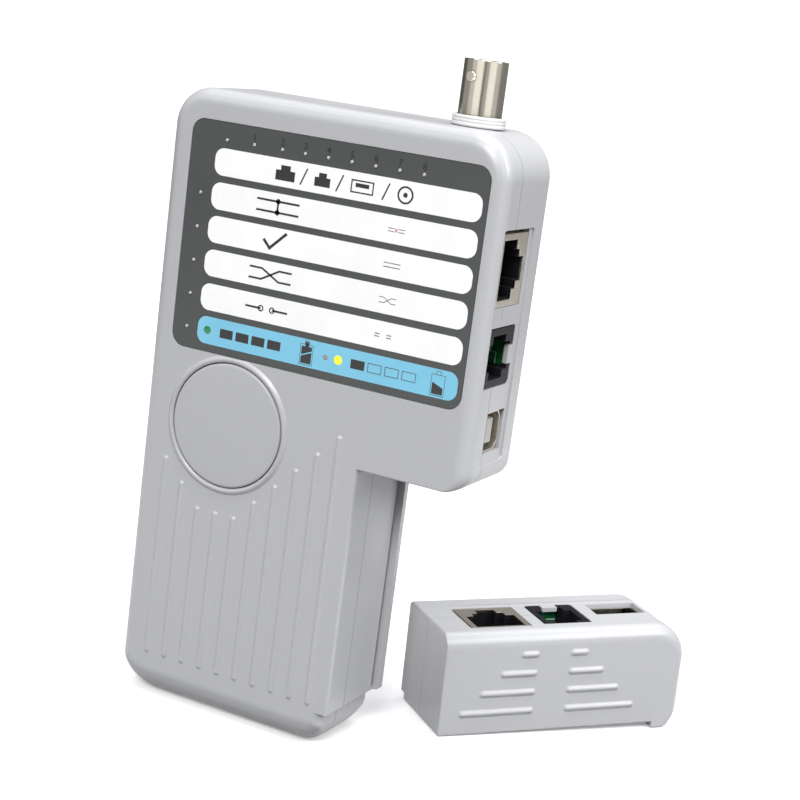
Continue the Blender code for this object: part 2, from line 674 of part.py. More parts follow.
def usb_b(parent, x0, y0):
    """Square socket of the main unit, with a block in the middle that carries the contacts."""
    top = -RECESS_DEPTH - PORT_SET_BACK - 0.6
    low = top - 11.0
    w, h = 9.3, 8.6
    bevel = 1.6
    outer = [(x0, y0), (x0 + w, y0), (x0 + w, y0 + h - bevel), (x0 + w - bevel, y0 + h),
             (x0 + bevel, y0 + h), (x0, y0 + h - bevel)]
    bm = bmesh.new()
    prism(bm, outer, "z", low, top)
    shell = new_object("usb_b_shell", bm, mat(TIN), parent)
    s = 0.4
    cut_off = bevel + 0.2
    inner = [(x0 + s, y0 + s), (x0 + w - s, y0 + s), (x0 + w - s, y0 + h - cut_off),
             (x0 + w - cut_off, y0 + h - s), (x0 + cut_off, y0 + h - s), (x0 + s, y0 + h - cut_off)]
    bm = bmesh.new()
    prism(bm, inner, "z", low + 0.5, top + 1)
    cut(shell, helper("usb_b_inside_cut", bm, parent))
    bm = bmesh.new()
    base = low + 0.5 + GAP
    box(bm, (x0 + 0.8, y0 + 0.8, base), (x0 + w - 0.8, y0 + h - 2.3, base + 1.6))
    block = new_object("usb_b_tongue", bm, mat(WHITE), parent)
    bm = bmesh.new()
    box(bm, (x0 + w / 2 - 2.8, y0 + 2.5, base + 1.0), (x0 + w / 2 + 2.8, y0 + 5.7, top - 0.8))
    unite(block, helper("usb_b_tongue_add", bm, parent))


def usb_a(parent, x0, y0):
    """Flat socket of the remote unit."""
    top = -RECESS_DEPTH - PORT_SET_BACK - 1.0
    low = top - 11.4
    w, h, s = 13.7, 6.2, 0.4
    bm = bmesh.new()
    box(bm, (x0, y0, low), (x0 + w, y0 + h, top))
    shell = new_object("remote_usb_shell", bm, mat(NICKEL), parent)
    bm = bmesh.new()
    box(bm, (x0 + s, y0 + s, low + 0.5), (x0 + w - s, y0 + h - s, top + 1))
    cut(shell, helper("remote_usb_inside_cut", bm, parent))
    bm = bmesh.new()
    base = low + 0.5 + GAP
    box(bm, (x0 + 0.8, y0 + 0.8, base), (x0 + w - 0.8, y0 + h - 0.8, base + 1.6))
    block = new_object("remote_usb_tongue", bm, mat(WHITE), parent)
    bm = bmesh.new()
    box(bm, (x0 + 1.3, y0 + 0.9, base + 1.0), (x0 + w - 1.3, y0 + 2.7, top - 0.6))
    unite(block, helper("remote_usb_tongue_add", bm, parent))


def port_board(name, parent, x, front, z):
    """Circuit board that stands right behind a row of jacks."""
    bm = bmesh.new()
    box(bm, (x[0], front, z[0]), (x[1], front + BOARD_THICK, z[1]))
    new_object(name, bm, mat(GREEN), parent)


def screws(prefix, places, parent, head_y, length):
    """Self-tapping screws along Y, heads towards +Y, each with a cross recess."""
    for i, (x, z) in enumerate(places):
        bm = bmesh.new()
        lathe(bm, "y", (x, z), [(0.5, head_y - length), (1.05, head_y - length + 1.2), (1.05, head_y),
                                (2.4, head_y), (2.4, head_y + 1.0), (1.6, head_y + 1.6)], 16)
        obj = new_object(f"{prefix}screw_{i + 1}", bm, mat(STEEL), parent, origin=(x, head_y, z), smooth=35)
        bm = bmesh.new()
        box(bm, (x - 1.2, head_y + 0.7, z - 0.25), (x + 1.2, head_y + 3, z + 0.25))
        cut(obj, helper(f"{prefix}screw_slot_a_{i + 1}", bm, parent))
        bm = bmesh.new()
        box(bm, (x - 0.25, head_y + 0.7, z - 1.2), (x + 0.25, head_y + 3, z + 1.2))
        cut(obj, helper(f"{prefix}screw_slot_b_{i + 1}", bm, parent))


# ================================================================ remote unit

REMOTE_CORNERS = [
    (0.0, 0.0, 0.6, 2), (HOOK_X, 0.0, 0.2, 1), (HOOK_X, -HOOK_DROP, 0.4, 2),
    (REMOTE_LEN, -HOOK_DROP, 5.0, 5), (REMOTE_LEN, REMOTE_THICK, 9.0, 7), (0.0, REMOTE_THICK, 0.8, 2)]
REMOTE_FRONT_RADII = [0.5, 0.3, 0.5, 3.0, 3.6, 0.5]
REMOTE_BACK_RADII = [0.5, 0.3, 0.5, 2.0, 1.2, 0.5]


def remote_shells(parent, port_cuts):
    bm = cover(REMOTE_CORNERS, REMOTE_FRONT_RADII, 0.0, REMOTE_PART_Y - GAP / 2,
               [0.0, 0.2, 0.5, 1.2, 2.2, 3.6])
    front = new_object("remote_front_shell", bm, mat(SHELL), parent, smooth=35)
    bm = bmesh.new()
    for row in range(4):
        z = 5.5 + 4.95 * row
        for start, end in ((4.9 + 5.07 * row, 25.2), (33.7, 53.5 - 4.9 * row)):
            rib(bm, start, end, lambda along, side, level, z=z: (along, level, z + side),
                1.8, 0.6, (-RIB_H + 0.3, -RIB_H))
    unite(front, helper("remote_ribs_add", bm, parent))
    bosses = screw_boss_parts(REMOTE_SCREWS, WALL - 0.4, REMOTE_PART_Y - 0.6, 2.6,
                              "remote_front_boss_add", parent)
    unite(front, bosses)
    bm = bmesh.new()
    for centre in REMOTE_SCREWS:
        cylinder(bm, "y", centre, 1.35, REMOTE_PART_Y - 6.0, REMOTE_PART_Y + 2, 12)
    cut(front, helper("remote_front_holes_cut", bm, parent))

    bm = cover(REMOTE_CORNERS, REMOTE_BACK_RADII, DEPTH, REMOTE_PART_Y + GAP / 2,
               [0.0, 0.2, 0.5, 1.2, 2.0])
    rear = new_object("remote_rear_shell", bm, mat(SHELL), parent, smooth=35)
    bm = bmesh.new()
    box(bm, (1.0, 20.6, 1.0), (HOOK_X + 2.5, DEPTH - 1.0, 3.6))
    unite(rear, helper("remote_rail_seat_add", bm, parent))
    unite(rear, screw_boss_parts(REMOTE_SCREWS, REMOTE_PART_Y + 0.5, DEPTH - WALL + 0.5, 3.7,
                                 "remote_rear_boss_add", parent))
    bm = bmesh.new()
    for centre in REMOTE_SCREWS:
        lathe(bm, "y", centre, [(1.35, REMOTE_PART_Y - 2), (1.35, 17.0), (2.6, 17.0), (2.6, DEPTH + 2)], 20)
    cut(rear, helper("remote_rear_screw_cut", bm, parent))
    bm = bmesh.new()
    box(bm, (-1.0, DEPTH - 2.6, -1.0), (HOOK_X - 0.1, DEPTH + 1.0, 1.9))
    cut(rear, helper("remote_rail_cut", bm, parent))
    for shell in (front, rear):
        for cutter in port_cuts:
            cut(shell, cutter)


def port_openings(x45, y45, x11, y11, usb):
    """Holes in the wall for the three ports; the six-way one keeps a tab at its latch side."""
    m = GAP
    mid = x11 + RJ11_W / 2
    half_tab = RJ11_TAB_W / 2
    tab_y = y11 + RJ11_H - RJ11_TAB_D
    wide = [((x45 - m, x45 + RJ45_W + m), (y45 - m, y45 + RJ45_H + m)),
            ((x11 - m, x11 + RJ11_W + m), (y11 - m, tab_y)), usb]
    ears = [((x11 - m, mid - half_tab), (tab_y - 0.1, y11 + RJ11_H + m)),
            ((mid + half_tab, x11 + RJ11_W + m), (tab_y - 0.1, y11 + RJ11_H + m))]
    return wide, ears


def build_main():
    ports = empty("main_ports", (RIGHT_X, FRONT_Y, MAIN_PORT_TOP_Z), (0, math.pi / 2, 0))
    x45, y45, x11, y11 = 9.3, 3.2, 30.1, 4.2
    usb_x, usb_y = 49.4, 8.5
    usb_hole = ((usb_x - GAP, usb_x + 9.3 + GAP), (usb_y - GAP, usb_y + 8.6 + GAP))
    wide, ears = port_openings(x45, y45, x11, y11, usb_hole)
    recess, openings = port_cutters("main_port", ports, ((8.4, 61.3), (3.0, 18.8)), wide)
    _, ears_cut = port_cutters("main_port_ears", ports, ((8.4, 61.3), (3.0, 18.8)), ears)
    cuts = (recess, openings, ears_cut)
    main_front_shell(cuts)
    main_rear_shell(cuts)
    label()
    test_button()
    tactile_switch()
    main_board()
    led_strip("pin_leds", [(x, LED_TOP_Z) for x in LED_X])
    led_strip("row_leds", [(LED_LEFT_X, z) for z in LED_ROW_Z])
    led_strip("good_led", [(BATTERY_LED_X[0], BATTERY_LED_Z)])
    led_strip("low_leds", [(x, BATTERY_LED_Z) for x in BATTERY_LED_X[1:]])
    battery()
    battery_door()
    bnc()
    rj45("", ports, x45, y45)
    rj11("", ports, x11, y11)
    usb_b(ports, usb_x, usb_y)
    port_board("port_board", ports, (8.8, 62.0), 17.4, (-16.0, -2.2))
    screws("", SCREWS, None, 2.0 + GAP, 10.6)


def build_remote():
    tilt = math.atan2(HOOK_DROP, HOOK_X)
    yaw = math.radians(REMOTE_YAW)
    root = empty("remote_unit", (0, 0, 0), (0, -tilt, yaw))
    centre = Matrix.Rotation(yaw, 3, "Z") @ Vector((REMOTE_LEN / 2, DEPTH / 2, 0))
    root.location = Vector((REMOTE_PLACE[0] - centre.x, REMOTE_PLACE[1] - centre.y, 0)) * MM
    ports = empty("remote_ports", (0, 0, REMOTE_THICK))
    ports.parent = root

    x45, y45, x11, y11 = 9.1, 5.3, 29.0, 6.7
    usb_x, usb_y = 46.4, 11.8
    wide, ears = port_openings(x45, y45, x11, y11, ((46.0, 60.6), (11.3, 18.5)))
    recess, openings = port_cutters("remote_port", ports, ((7.9, 62.0), (4.9, 20.4)), wide)
    _, ears_cut = port_cutters("remote_port_ears", ports, ((7.9, 62.0), (4.9, 20.4)), ears)
    remote_shells(root, (recess, openings, ears_cut))
    rj45("remote_", ports, x45, y45)
    rj11("remote_", ports, x11, y11)
    usb_a(ports, usb_x, usb_y)
    port_board("remote_board", ports, (3.0, 59.0), 19.4, (-15.0, -2.2))
    screws("remote_", REMOTE_SCREWS, root, 17.0 + GAP, 9.6)


def main():
    for obj in list(bpy.data.objects):
        bpy.data.objects.remove(obj, do_unlink=True)
    build_main()
    build_remote()
    bpy.context.view_layer.update()


main()
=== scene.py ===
"""Looks of a handheld network cable tester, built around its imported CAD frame.

Shapes are made in millimetres in the frame's own axes (front towards -Y, +Z up), and
scaled to metres when each piece is finished.
"""
import json
import math

import bmesh
import bpy
from mathutils import Matrix, Vector


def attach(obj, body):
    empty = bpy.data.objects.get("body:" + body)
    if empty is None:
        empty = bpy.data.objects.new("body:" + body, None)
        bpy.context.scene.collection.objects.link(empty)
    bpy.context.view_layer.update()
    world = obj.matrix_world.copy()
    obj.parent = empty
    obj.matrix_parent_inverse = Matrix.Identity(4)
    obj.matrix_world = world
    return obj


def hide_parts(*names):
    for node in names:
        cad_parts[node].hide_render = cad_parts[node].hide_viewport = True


MM = 0.001

# ---------------------------------------------------------------- sizes of the main unit
DEPTH = 25.2
FRONT_Y = -DEPTH / 2
BACK_Y = DEPTH / 2
LEFT_X, RIGHT_X, TOP_Z = -42.8, 42.6, 147.6
WALL_X, NOTCH_Z = 16.2, 69.0
FOOT_X, STEP_Z = 14.5, 9.3
PART_Y = -4.2
WALL = 1.8
GAP = 0.3
SEAM = 0.16                    # visible width of a parting line
LABEL_X = (-36.6, 39.0)
LABEL_Z = (87.6, 140.6)
LABEL_R = 3.2
LABEL_POCKET = 0.7
FILM_Y = FRONT_Y + 0.05        # face of the printed film
LED_X = [-27.2, -19.9] + [23.2 - 5.95 * (6 - i) for i in range(7)]
LED_TOP_Z = 136.65
LED_LEFT_X = -32.9
LED_ROW_Z = [123.85 - 7.84 * i for i in range(5)]
BUTTON_C = (-19.0, 71.4)
BUTTON_R = 14.5
BUTTON_HOLE_R = 14.85
BEZEL_R = 15.7
RIB_X0, RIB_PITCH, RIB_LOW_Z, RIB_FLAT_TOP_Z = -34.8, 5.07, 10.8, 50.4
RIB_TOP_STEPS = [2, 1, 0, 0, 0, 1, 2, 3, 4, 5]
RIB_R, RIB_H = 0.72, 0.5
DOOR_X, DOOR_Z = (-28.6, 1.4), (8.0, 58.0)
DOOR_AXIS_Y, DOOR_AXIS_Z = BACK_Y - 1.3, 9.15
SCREWS = [(-36.8, 140.6), (37.2, 132.0), (-36.9, 13.5), (10.0, 13.5)]
BNC_X, BNC_TOP_Z = 28.5, 162.0
PORT_TOP_Z = 136.0
RECESS = 0.4
JACK_TOP = -0.45               # jack faces in the port frame
RJ45_W, RJ45_H, RJ45_D = 16.0, 13.5, 12.6
RJ11_W, RJ11_H, RJ11_D = 13.2, 12.4, 12.0

# ---------------------------------------------------------------- sizes of the remote unit
REMOTE_LEN, REMOTE_THICK = 67.4, 26.0
HOOK_X, HOOK_DROP = 59.7, 1.6
REMOTE_PART_Y = 12.6
REMOTE_PLACE = (45.0, 50.0)
REMOTE_YAW = 49.0
REMOTE_SCREWS = [(6.6, 5.7), (56.6, 5.7)]

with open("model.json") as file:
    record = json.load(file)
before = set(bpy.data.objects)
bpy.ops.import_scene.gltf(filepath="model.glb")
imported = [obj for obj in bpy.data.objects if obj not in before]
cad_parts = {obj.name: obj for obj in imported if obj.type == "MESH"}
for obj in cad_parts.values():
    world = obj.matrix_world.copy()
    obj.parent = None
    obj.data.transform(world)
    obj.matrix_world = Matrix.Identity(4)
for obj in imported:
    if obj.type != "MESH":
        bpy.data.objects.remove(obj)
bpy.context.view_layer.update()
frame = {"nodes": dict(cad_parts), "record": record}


# ================================================================ materials


class Nodes:
    """Short way to write a material's nodes and links."""

    def __init__(self, name):
        self.mat = bpy.data.materials.new(name)
        self.mat.use_nodes = True
        self.tree = self.mat.node_tree
        self.shader = self.tree.nodes["Principled BSDF"]
        self.coords = self.add("ShaderNodeTexCoord").outputs["Object"]

    def add(self, kind, inputs=None, **props):
        node = self.tree.nodes.new(kind)
        for key, value in props.items():
            setattr(node, key, value)
        for key, value in (inputs or {}).items():
            self.put(node.inputs[key], value)
        return node

    def put(self, socket, value):
        if isinstance(value, bpy.types.NodeSocket):
            self.tree.links.new(value, socket)
        else:
            socket.default_value = value

    def noise(self, scale, detail=3.0, rough=0.55, stretch=None, offset=(0, 0, 0)):
        """Noise whose scale is in features per metre."""
        vector = self.coords
        if stretch is not None or any(offset):
            mapping = self.add("ShaderNodeMapping", {"Vector": self.coords, "Location": offset})
            mapping.inputs["Scale"].default_value = stretch or (1, 1, 1)
            vector = mapping.outputs[0]
        node = self.add("ShaderNodeTexNoise", {"Vector": vector, "Scale": scale, "Detail": detail,
                                               "Roughness": rough})
        return node.outputs["Fac"]

    def span(self, value, low, high, from_low=0.3, from_high=0.7):
        node = self.add("ShaderNodeMapRange", {"Value": value, "From Min": from_low, "From Max": from_high,
                                               "To Min": low, "To Max": high})
        return node.outputs["Result"]

    def mix(self, factor, a, b, blend="MIX"):
        node = self.add("ShaderNodeMix", data_type="RGBA", blend_type=blend)
        self.put(node.inputs["Factor"], factor)
        self.put(node.inputs["A"], a if isinstance(a, bpy.types.NodeSocket) else (*a, 1.0))
        self.put(node.inputs["B"], b if isinstance(b, bpy.types.NodeSocket) else (*b, 1.0))
        return node.outputs["Result"]

    def math(self, kind, a, b=0.0):
        node = self.add("ShaderNodeMath", operation=kind)
        self.put(node.inputs[0], a)
        self.put(node.inputs[1], b)
        return node.outputs[0]

    def bump(self, height, distance, strength=1.0, after=None):
        node = self.add("ShaderNodeBump", {"Height": height, "Distance": distance, "Strength": strength})
        if after is not None:
            self.put(node.inputs["Normal"], after)
        return node.outputs["Normal"]

    def painted_shade_mask(self, distance, low):
        """Mask for painted shade: 1 on open surfaces, falling to `low` deep in corners."""
        node = self.add("ShaderNodeAmbientOcclusion", {"Distance": distance}, samples=8)
        return self.span(node.outputs["AO"], low, 1.0, 0.25, 0.85)

    def set(self, **sockets):
        for key, value in sockets.items():
            self.put(self.shader.inputs[key.replace("_", " ")], value)
        return self.mat


def scaled(color, factor):
    return tuple(min(1.0, c * factor) for c in color)


def moulded(name, color, rough, grain=26000.0, depth=0.000012, corner_shade_low=0.95, spec=0.5, tint=0.01):
    """Injection-moulded plastic: spark-eroded grain, slow flow marks, handling gloss, and painted shade that darkens
    the colour in corners and creases.
    """
    n = Nodes(name)
    flow = n.noise(38.0, 4.0, 0.6)
    fine = n.noise(900.0, 2.0, 0.5)
    base = n.mix(n.span(flow, 0.0, 1.0), scaled(color, 1.0 - tint), scaled(color, 1.0 + tint))
    base = n.mix(n.span(fine, 0.0, 0.06), base, scaled(color, 0.8))
    # painted shade: the colour is pulled towards 35% of itself where the AO mask finds corners and creases
    base = n.mix(n.math("SUBTRACT", 1.0, n.painted_shade_mask(0.0015, corner_shade_low)), base, scaled(color, 0.35))
    grain_noise = n.noise(grain / 6.0, 2.0, 0.6)
    specks = n.add("ShaderNodeTexVoronoi", {"Vector": n.coords, "Scale": grain / 8.0}).outputs["Distance"]
    scratches = n.noise(260.0, 5.0, 0.7, stretch=(9.0, 9.0, 0.6))
    roughness = n.math("ADD", n.span(flow, rough - 0.025, rough + 0.025), n.span(scratches, 0.0, -0.02, 0.6, 0.8))
    normal = n.bump(n.math("ADD", grain_noise, specks), depth, 0.3)
    normal = n.bump(flow, 0.0002, 0.06, normal)
    n.set(Base_Color=base, Roughness=roughness, Normal=normal)
    n.shader.inputs["Specular IOR Level"].default_value = spec
    return n.mat


def printed(name, color, rough=0.42, depth=0.000006):
    """Screen-printed ink on satin film: pinholes, slight colour drift and a fine mesh texture."""
    n = Nodes(name)
    drift = n.noise(120.0, 3.0, 0.6)
    mesh = n.noise(5200.0, 1.0, 0.4)
    base = n.mix(n.span(drift, 0.0, 1.0), scaled(color, 0.965), scaled(color, 1.03))
    base = n.mix(n.span(mesh, 0.0, 0.08, 0.55, 0.75), base, scaled(color, 0.7))
    rubbed = n.noise(45.0, 4.0, 0.6, offset=(3.1, 0.4, 1.7))
    n.set(Base_Color=base, Roughness=n.span(rubbed, rough - 0.07, rough + 0.05),
          Normal=n.bump(mesh, depth, 0.5))
    return n.mat


def metal(name, color, rough, stretch, scale=2400.0, depth=0.000006, tarnish=0.1, dark=(0.3, 0.24, 0.17),
          reach=0.0008, low=0.6):
    """Plated metal with fine drawn or turned lines, patchy tarnish, and painted shade that darkens the colour in
    hollows within `reach`.
    """
    n = Nodes(name)
    lines = n.noise(scale, 3.0, 0.6, stretch=stretch)
    patches = n.noise(160.0, 4.0, 0.65)
    base = n.mix(n.span(patches, 0.0, tarnish, 0.4, 0.7), color, dark)
    # painted shade: the colour is pulled towards a fifth of the tarnish colour deep in hollows
    base = n.mix(n.math("SUBTRACT", 1.0, n.painted_shade_mask(reach, low)), base, scaled(dark, 0.2))
    roughness = n.math("ADD", n.span(lines, rough - 0.05, rough + 0.07), n.span(patches, 0.0, 0.06))
    n.set(Base_Color=base, Roughness=roughness, Normal=n.bump(lines, depth, 0.6))
    n.shader.inputs["Metallic"].default_value = 1.0
    return n.mat


def circuit(name):
    """Green solder mask over copper tracks."""
    n = Nodes(name)
    tracks = n.add("ShaderNodeTexBrick", {"Vector": n.add("ShaderNodeMapping", {
        "Vector": n.coords, "Rotation": (math.pi / 2, 0, 0)}).outputs[0], "Scale": 420.0, "Mortar Size": 0.05,
        "Color1": (0, 0, 0, 1), "Color2": (0.15, 0.15, 0.15, 1), "Mortar": (1, 1, 1, 1)}).outputs["Color"]
    grain = n.noise(1800.0, 2.0, 0.5)
    base = n.mix(tracks, (0.004, 0.12, 0.03), (0.012, 0.24, 0.06))
    base = n.mix(n.span(grain, 0.0, 0.35), base, (0.002, 0.07, 0.02))
    n.set(Base_Color=base, Roughness=n.span(grain, 0.25, 0.4), Normal=n.bump(tracks, 0.00003, 0.8))
    return n.mat


def lens(name, color, glow=0.0):
    """Diffusing LED resin."""
    n = Nodes(name)
    cloud = n.noise(1500.0, 2.0, 0.5)
    base = n.mix(n.span(cloud, 0.0, 0.5), color, scaled(color, 0.7))
    n.set(Base_Color=base, Roughness=n.span(cloud, 0.15, 0.25))
    n.shader.inputs["Coat Weight"].default_value = 0.4
    n.shader.inputs["Emission Color"].default_value = (*color, 1.0)
    n.shader.inputs["Emission Strength"].default_value = glow
    return n.mat


SHELL_COLOR = (0.435, 0.437, 0.452)
M = {
    "shell": moulded("shell_plastic", SHELL_COLOR, 0.325),
    "button": moulded("button_plastic", scaled(SHELL_COLOR, 0.985), 0.37, grain=20000.0),
    "label": printed("label_charcoal", (0.052, 0.056, 0.055)),
    "white_ink": printed("white_ink", (0.93, 0.93, 0.93)),
    "blue_ink": printed("blue_ink", (0.21, 0.55, 0.74)),
    "black_ink": printed("black_ink", (0.012, 0.012, 0.013)),
    "grey_ink": printed("grey_ink", (0.05, 0.05, 0.052)),
    "red_ink": printed("red_ink", (0.55, 0.08, 0.07)),
    # the lower corner levels here paint stronger shade into the corners of the black plastics
    "black": moulded("black_plastic", (0.018, 0.018, 0.022), 0.42, depth=0.00001, corner_shade_low=0.8, spec=0.25),
    "jack_black": moulded("jack_plastic", (0.009, 0.009, 0.011), 0.45, depth=0.00001, corner_shade_low=0.6, spec=0.16),
    "block": moulded("block_plastic", (0.42, 0.42, 0.41), 0.4, depth=0.000006),
    "dim_led": lens("led_dim", (0.26, 0.29, 0.30), 0.0),
    "white": moulded("white_plastic", (0.60, 0.60, 0.605), 0.36, depth=0.000006),
    # nickel: reach 8.5 mm with low 0.0 paints deep shade inside the coaxial barrel
    "nickel": metal("nickel_plate", (0.82, 0.79, 0.70), 0.13, (0.15, 0.15, 6.0), scale=3000.0, depth=0.000003,
                    tarnish=0.06, reach=0.0085, low=0.0),
    "tinned": metal("tinned_sheet", (0.66, 0.62, 0.56), 0.34, (0.4, 5.0, 0.4), tarnish=0.25),
    "contact": metal("gold_plate", (0.86, 0.63, 0.27), 0.24, (1.0, 1.0, 1.0), tarnish=0.15),
    "board": circuit("solder_mask"),
    "screw": metal("zinc_screw", (0.42, 0.42, 0.43), 0.32, (1.0, 6.0, 1.0), tarnish=0.3),
    "lens": lens("led_grey", (0.48, 0.48, 0.47), 0.0),
    "green_led": lens("led_green", (0.004, 0.22, 0.06), 0.0),
    "yellow_led": lens("led_yellow", (0.92, 0.86, 0.02), 0.35),
    "jacket": printed("battery_jacket", (0.05, 0.06, 0.1), 0.3),
}
SLOTS = {"jack_black": "black", "block": "white", "dim_led": "lens",
         "white_ink": "label", "blue_ink": "label", "black_ink": "label", "grey_ink": "label",
         "red_ink": "label", "button": "shell", "green_led": "lens", "yellow_led": "lens"}


# ================================================================ mesh helpers


def box(bm, low, high):
    size = [h - l for l, h in zip(low, high)]
    middle = [(h + l) / 2 for l, h in zip(low, high)]
    bmesh.ops.create_cube(bm, size=1.0, matrix=Matrix.Translation(middle) @ Matrix.Diagonal((*size, 1.0)))


def loft(bm, loops):
    rings = [[bm.verts.new(p) for p in loop] for loop in loops]
    count = len(rings[0])
    for low, high in zip(rings, rings[1:]):
        for i in range(count):
            j = (i + 1) % count
            bm.faces.new((low[i], low[j], high[j], high[i]))
    bm.faces.new(list(reversed(rings[0])))
    bm.faces.new(rings[-1])


AXES = {"x": (1, 2, 0), "y": (0, 2, 1), "z": (0, 1, 2)}


def place(axis, a, b, along):
    out = [0.0, 0.0, 0.0]
    ia, ib, ic = AXES[axis]
    out[ia], out[ib], out[ic] = a, b, along
    return tuple(out)


def lathe(bm, axis, centre, profile, sides=64):
    ca, cb = centre
    turns = [2 * math.pi * k / sides for k in range(sides)]
    loft(bm, [[place(axis, ca + r * math.cos(t), cb + r * math.sin(t), along) for t in turns]
              for r, along in profile])


def ring(bm, axis, centre, profile, sides=64):
    ca, cb = centre
    rings = []
    for k in range(sides):
        c, s = math.cos(2 * math.pi * k / sides), math.sin(2 * math.pi * k / sides)
        rings.append([bm.verts.new(place(axis, ca + r * c, cb + r * s, along)) for r, along in profile])
    count = len(profile)
    for k in range(sides):
        a, b = rings[k], rings[(k + 1) % sides]
        for i in range(count):
            j = (i + 1) % count
            bm.faces.new((a[i], a[j], b[j], b[i]))


def outline(corners, insets):
    """Points around a right-angled outline whose edge i is moved inward by insets[i]."""
    points = []
    count = len(corners)
    for i, (x, z, radius, steps) in enumerate(corners):
        before = Vector(corners[i - 1][:2])
        after = Vector(corners[(i + 1) % count][:2])
        here = Vector((x, z))
        d_in = (here - before).normalized()
        d_out = (after - here).normalized()
        n_in = Vector((-d_in.y, d_in.x))
        n_out = Vector((-d_out.y, d_out.x))
        a, b = insets[i - 1], insets[i]
        corner = here + n_in * a + n_out * b
        if d_in.x * d_out.y - d_in.y * d_out.x > 0:
            ra, rb, side = max(radius - a, 0.06), max(radius - b, 0.06), 1
        else:
            ra, rb, side = radius, radius, -1
        centre = corner + side * (n_in * ra + n_out * rb)
        for k in range(steps + 1):
            t = math.pi / 2 * k / steps
            p = centre - side * (n_in * ra * math.cos(t) + n_out * rb * math.sin(t))
            points.append((p.x, p.y))
    return points


def fillet(radius, depth):
    if depth >= radius:
        return 0.0
    return radius - math.sqrt(radius * radius - (radius - depth) ** 2)


def cover(corners, radii, face_y, rim_y, depths):
    """Half of a housing: a tray with rounded outer edges, open at rim_y."""
    inward = 1 if rim_y > face_y else -1
    total = abs(rim_y - face_y)
    bm = bmesh.new()
    loops = []
    for d in depths + [total]:
        pts = outline(corners, [fillet(r, d) for r in radii])
        loops.append([(x, face_y + inward * d, z) for x, z in pts])
    for d in [total] + [d for d in reversed(depths) if d + WALL < total - 0.2][::2] + [0.0]:
        deep = total if d == total else d + WALL
        pts = outline(corners, [WALL + fillet(max(r - WALL, 0.02), deep - WALL) for r in radii])
        loops.append([(x, face_y + inward * deep, z) for x, z in pts])
    loft(bm, loops)
    return bm


def round_depths(*radii, steps=7):
    """Depths at which rounded edges of these radii are sliced, closer together near the face."""
    out = set()
    for radius in radii:
        out.update(round(radius * (1 - math.cos(math.pi / 2 * k / steps)), 3) for k in range(steps + 1))
    out = sorted(out)
    return [d for i, d in enumerate(out) if i == 0 or d - out[i - 1] > 0.04]


def rounded(x, z, radius, steps=10):
    corners = [(x[0], z[0], radius, steps), (x[1], z[0], radius, steps),
               (x[1], z[1], radius, steps), (x[0], z[1], radius, steps)]
    return outline(corners, [0, 0, 0, 0])


def prism(bm, points, axis, low, high, soft=0.0):
    """Extrude a polygon; `soft` chamfers the far end by scaling towards its middle."""
    if not soft:
        loft(bm, [[place(axis, a, b, along) for a, b in points] for along in (low, high)])
        return
    ma = sum(p[0] for p in points) / len(points)
    mb = sum(p[1] for p in points) / len(points)
    ra = max(abs(p[0] - ma) for p in points)
    rb = max(abs(p[1] - mb) for p in points)
    step = soft if high > low else -soft
    small = [(ma + (a - ma) * (1 - soft / ra), mb + (b - mb) * (1 - soft / rb)) for a, b in points]
    loops = [[place(axis, a, b, low) for a, b in points],
             [place(axis, a, b, high - step) for a, b in points],
             [place(axis, a, b, high) for a, b in small]]
    loft(bm, loops)


def solid(bm):
    """A temporary object, still in millimetres."""
    bmesh.ops.recalc_face_normals(bm, faces=bm.faces)
    mesh = bpy.data.meshes.new("work")
    bm.to_mesh(mesh)
    bm.free()
    obj = bpy.data.objects.new("work", mesh)
    bpy.context.scene.collection.objects.link(obj)
    return obj


def settle(obj):
    """Replace an object's mesh by what its modifiers give."""
    graph = bpy.context.evaluated_depsgraph_get()
    mesh = bpy.data.meshes.new_from_object(obj.evaluated_get(graph))
    old = obj.data
    obj.modifiers.clear()
    obj.data = mesh
    bpy.data.meshes.remove(old)


def combine(obj, bm, operation="DIFFERENCE"):
    operand = solid(bm)
    mod = obj.modifiers.new("combine", "BOOLEAN")
    mod.operation = operation
    mod.solver = "EXACT"
    mod.object = operand
    settle(obj)
    bpy.data.objects.remove(operand, do_unlink=True)


def soften(obj, width, segments=2, angle=38):
    """Round every sharp edge."""
    mod = obj.modifiers.new("soften", "BEVEL")
    mod.width = width
    mod.segments = segments
    mod.limit_method = "ANGLE"
    mod.angle_limit = math.radians(angle)
    mod.miter_outer = "MITER_ARC"
    settle(obj)


def piece(obj, name, material, body, matrix=None, stands_for=(), angle=42):
    """Finish a piece: name, metres, smooth shading, material, body and the CAD nodes it stands for."""
    mesh = obj.data
    if matrix is not None:
        mesh.transform(matrix)
    mesh.transform(Matrix.Scale(MM, 4))
    mesh.shade_smooth()
    mesh.set_sharp_from_angle(angle=math.radians(angle))
    mod = obj.modifiers.new("normals", "WEIGHTED_NORMAL")
    mod.keep_sharp = True
    mod.weight = 80
    settle(obj)
    obj.name = name
    obj.data.name = name
    obj.data.materials.clear()
    obj.data.materials.append(M[material])
    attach(obj, body)
    SLOTS.get(material, material)
    if stands_for:
        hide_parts(*stands_for)
    return obj


def quick_piece(name, bm, material, body, matrix=None, stands_for=(), soft=0.0, angle=42):
    obj = solid(bm)
    if soft:
        soften(obj, soft)
    return piece(obj, name, material, body, matrix, stands_for, angle)


# ================================================================ raised ribs


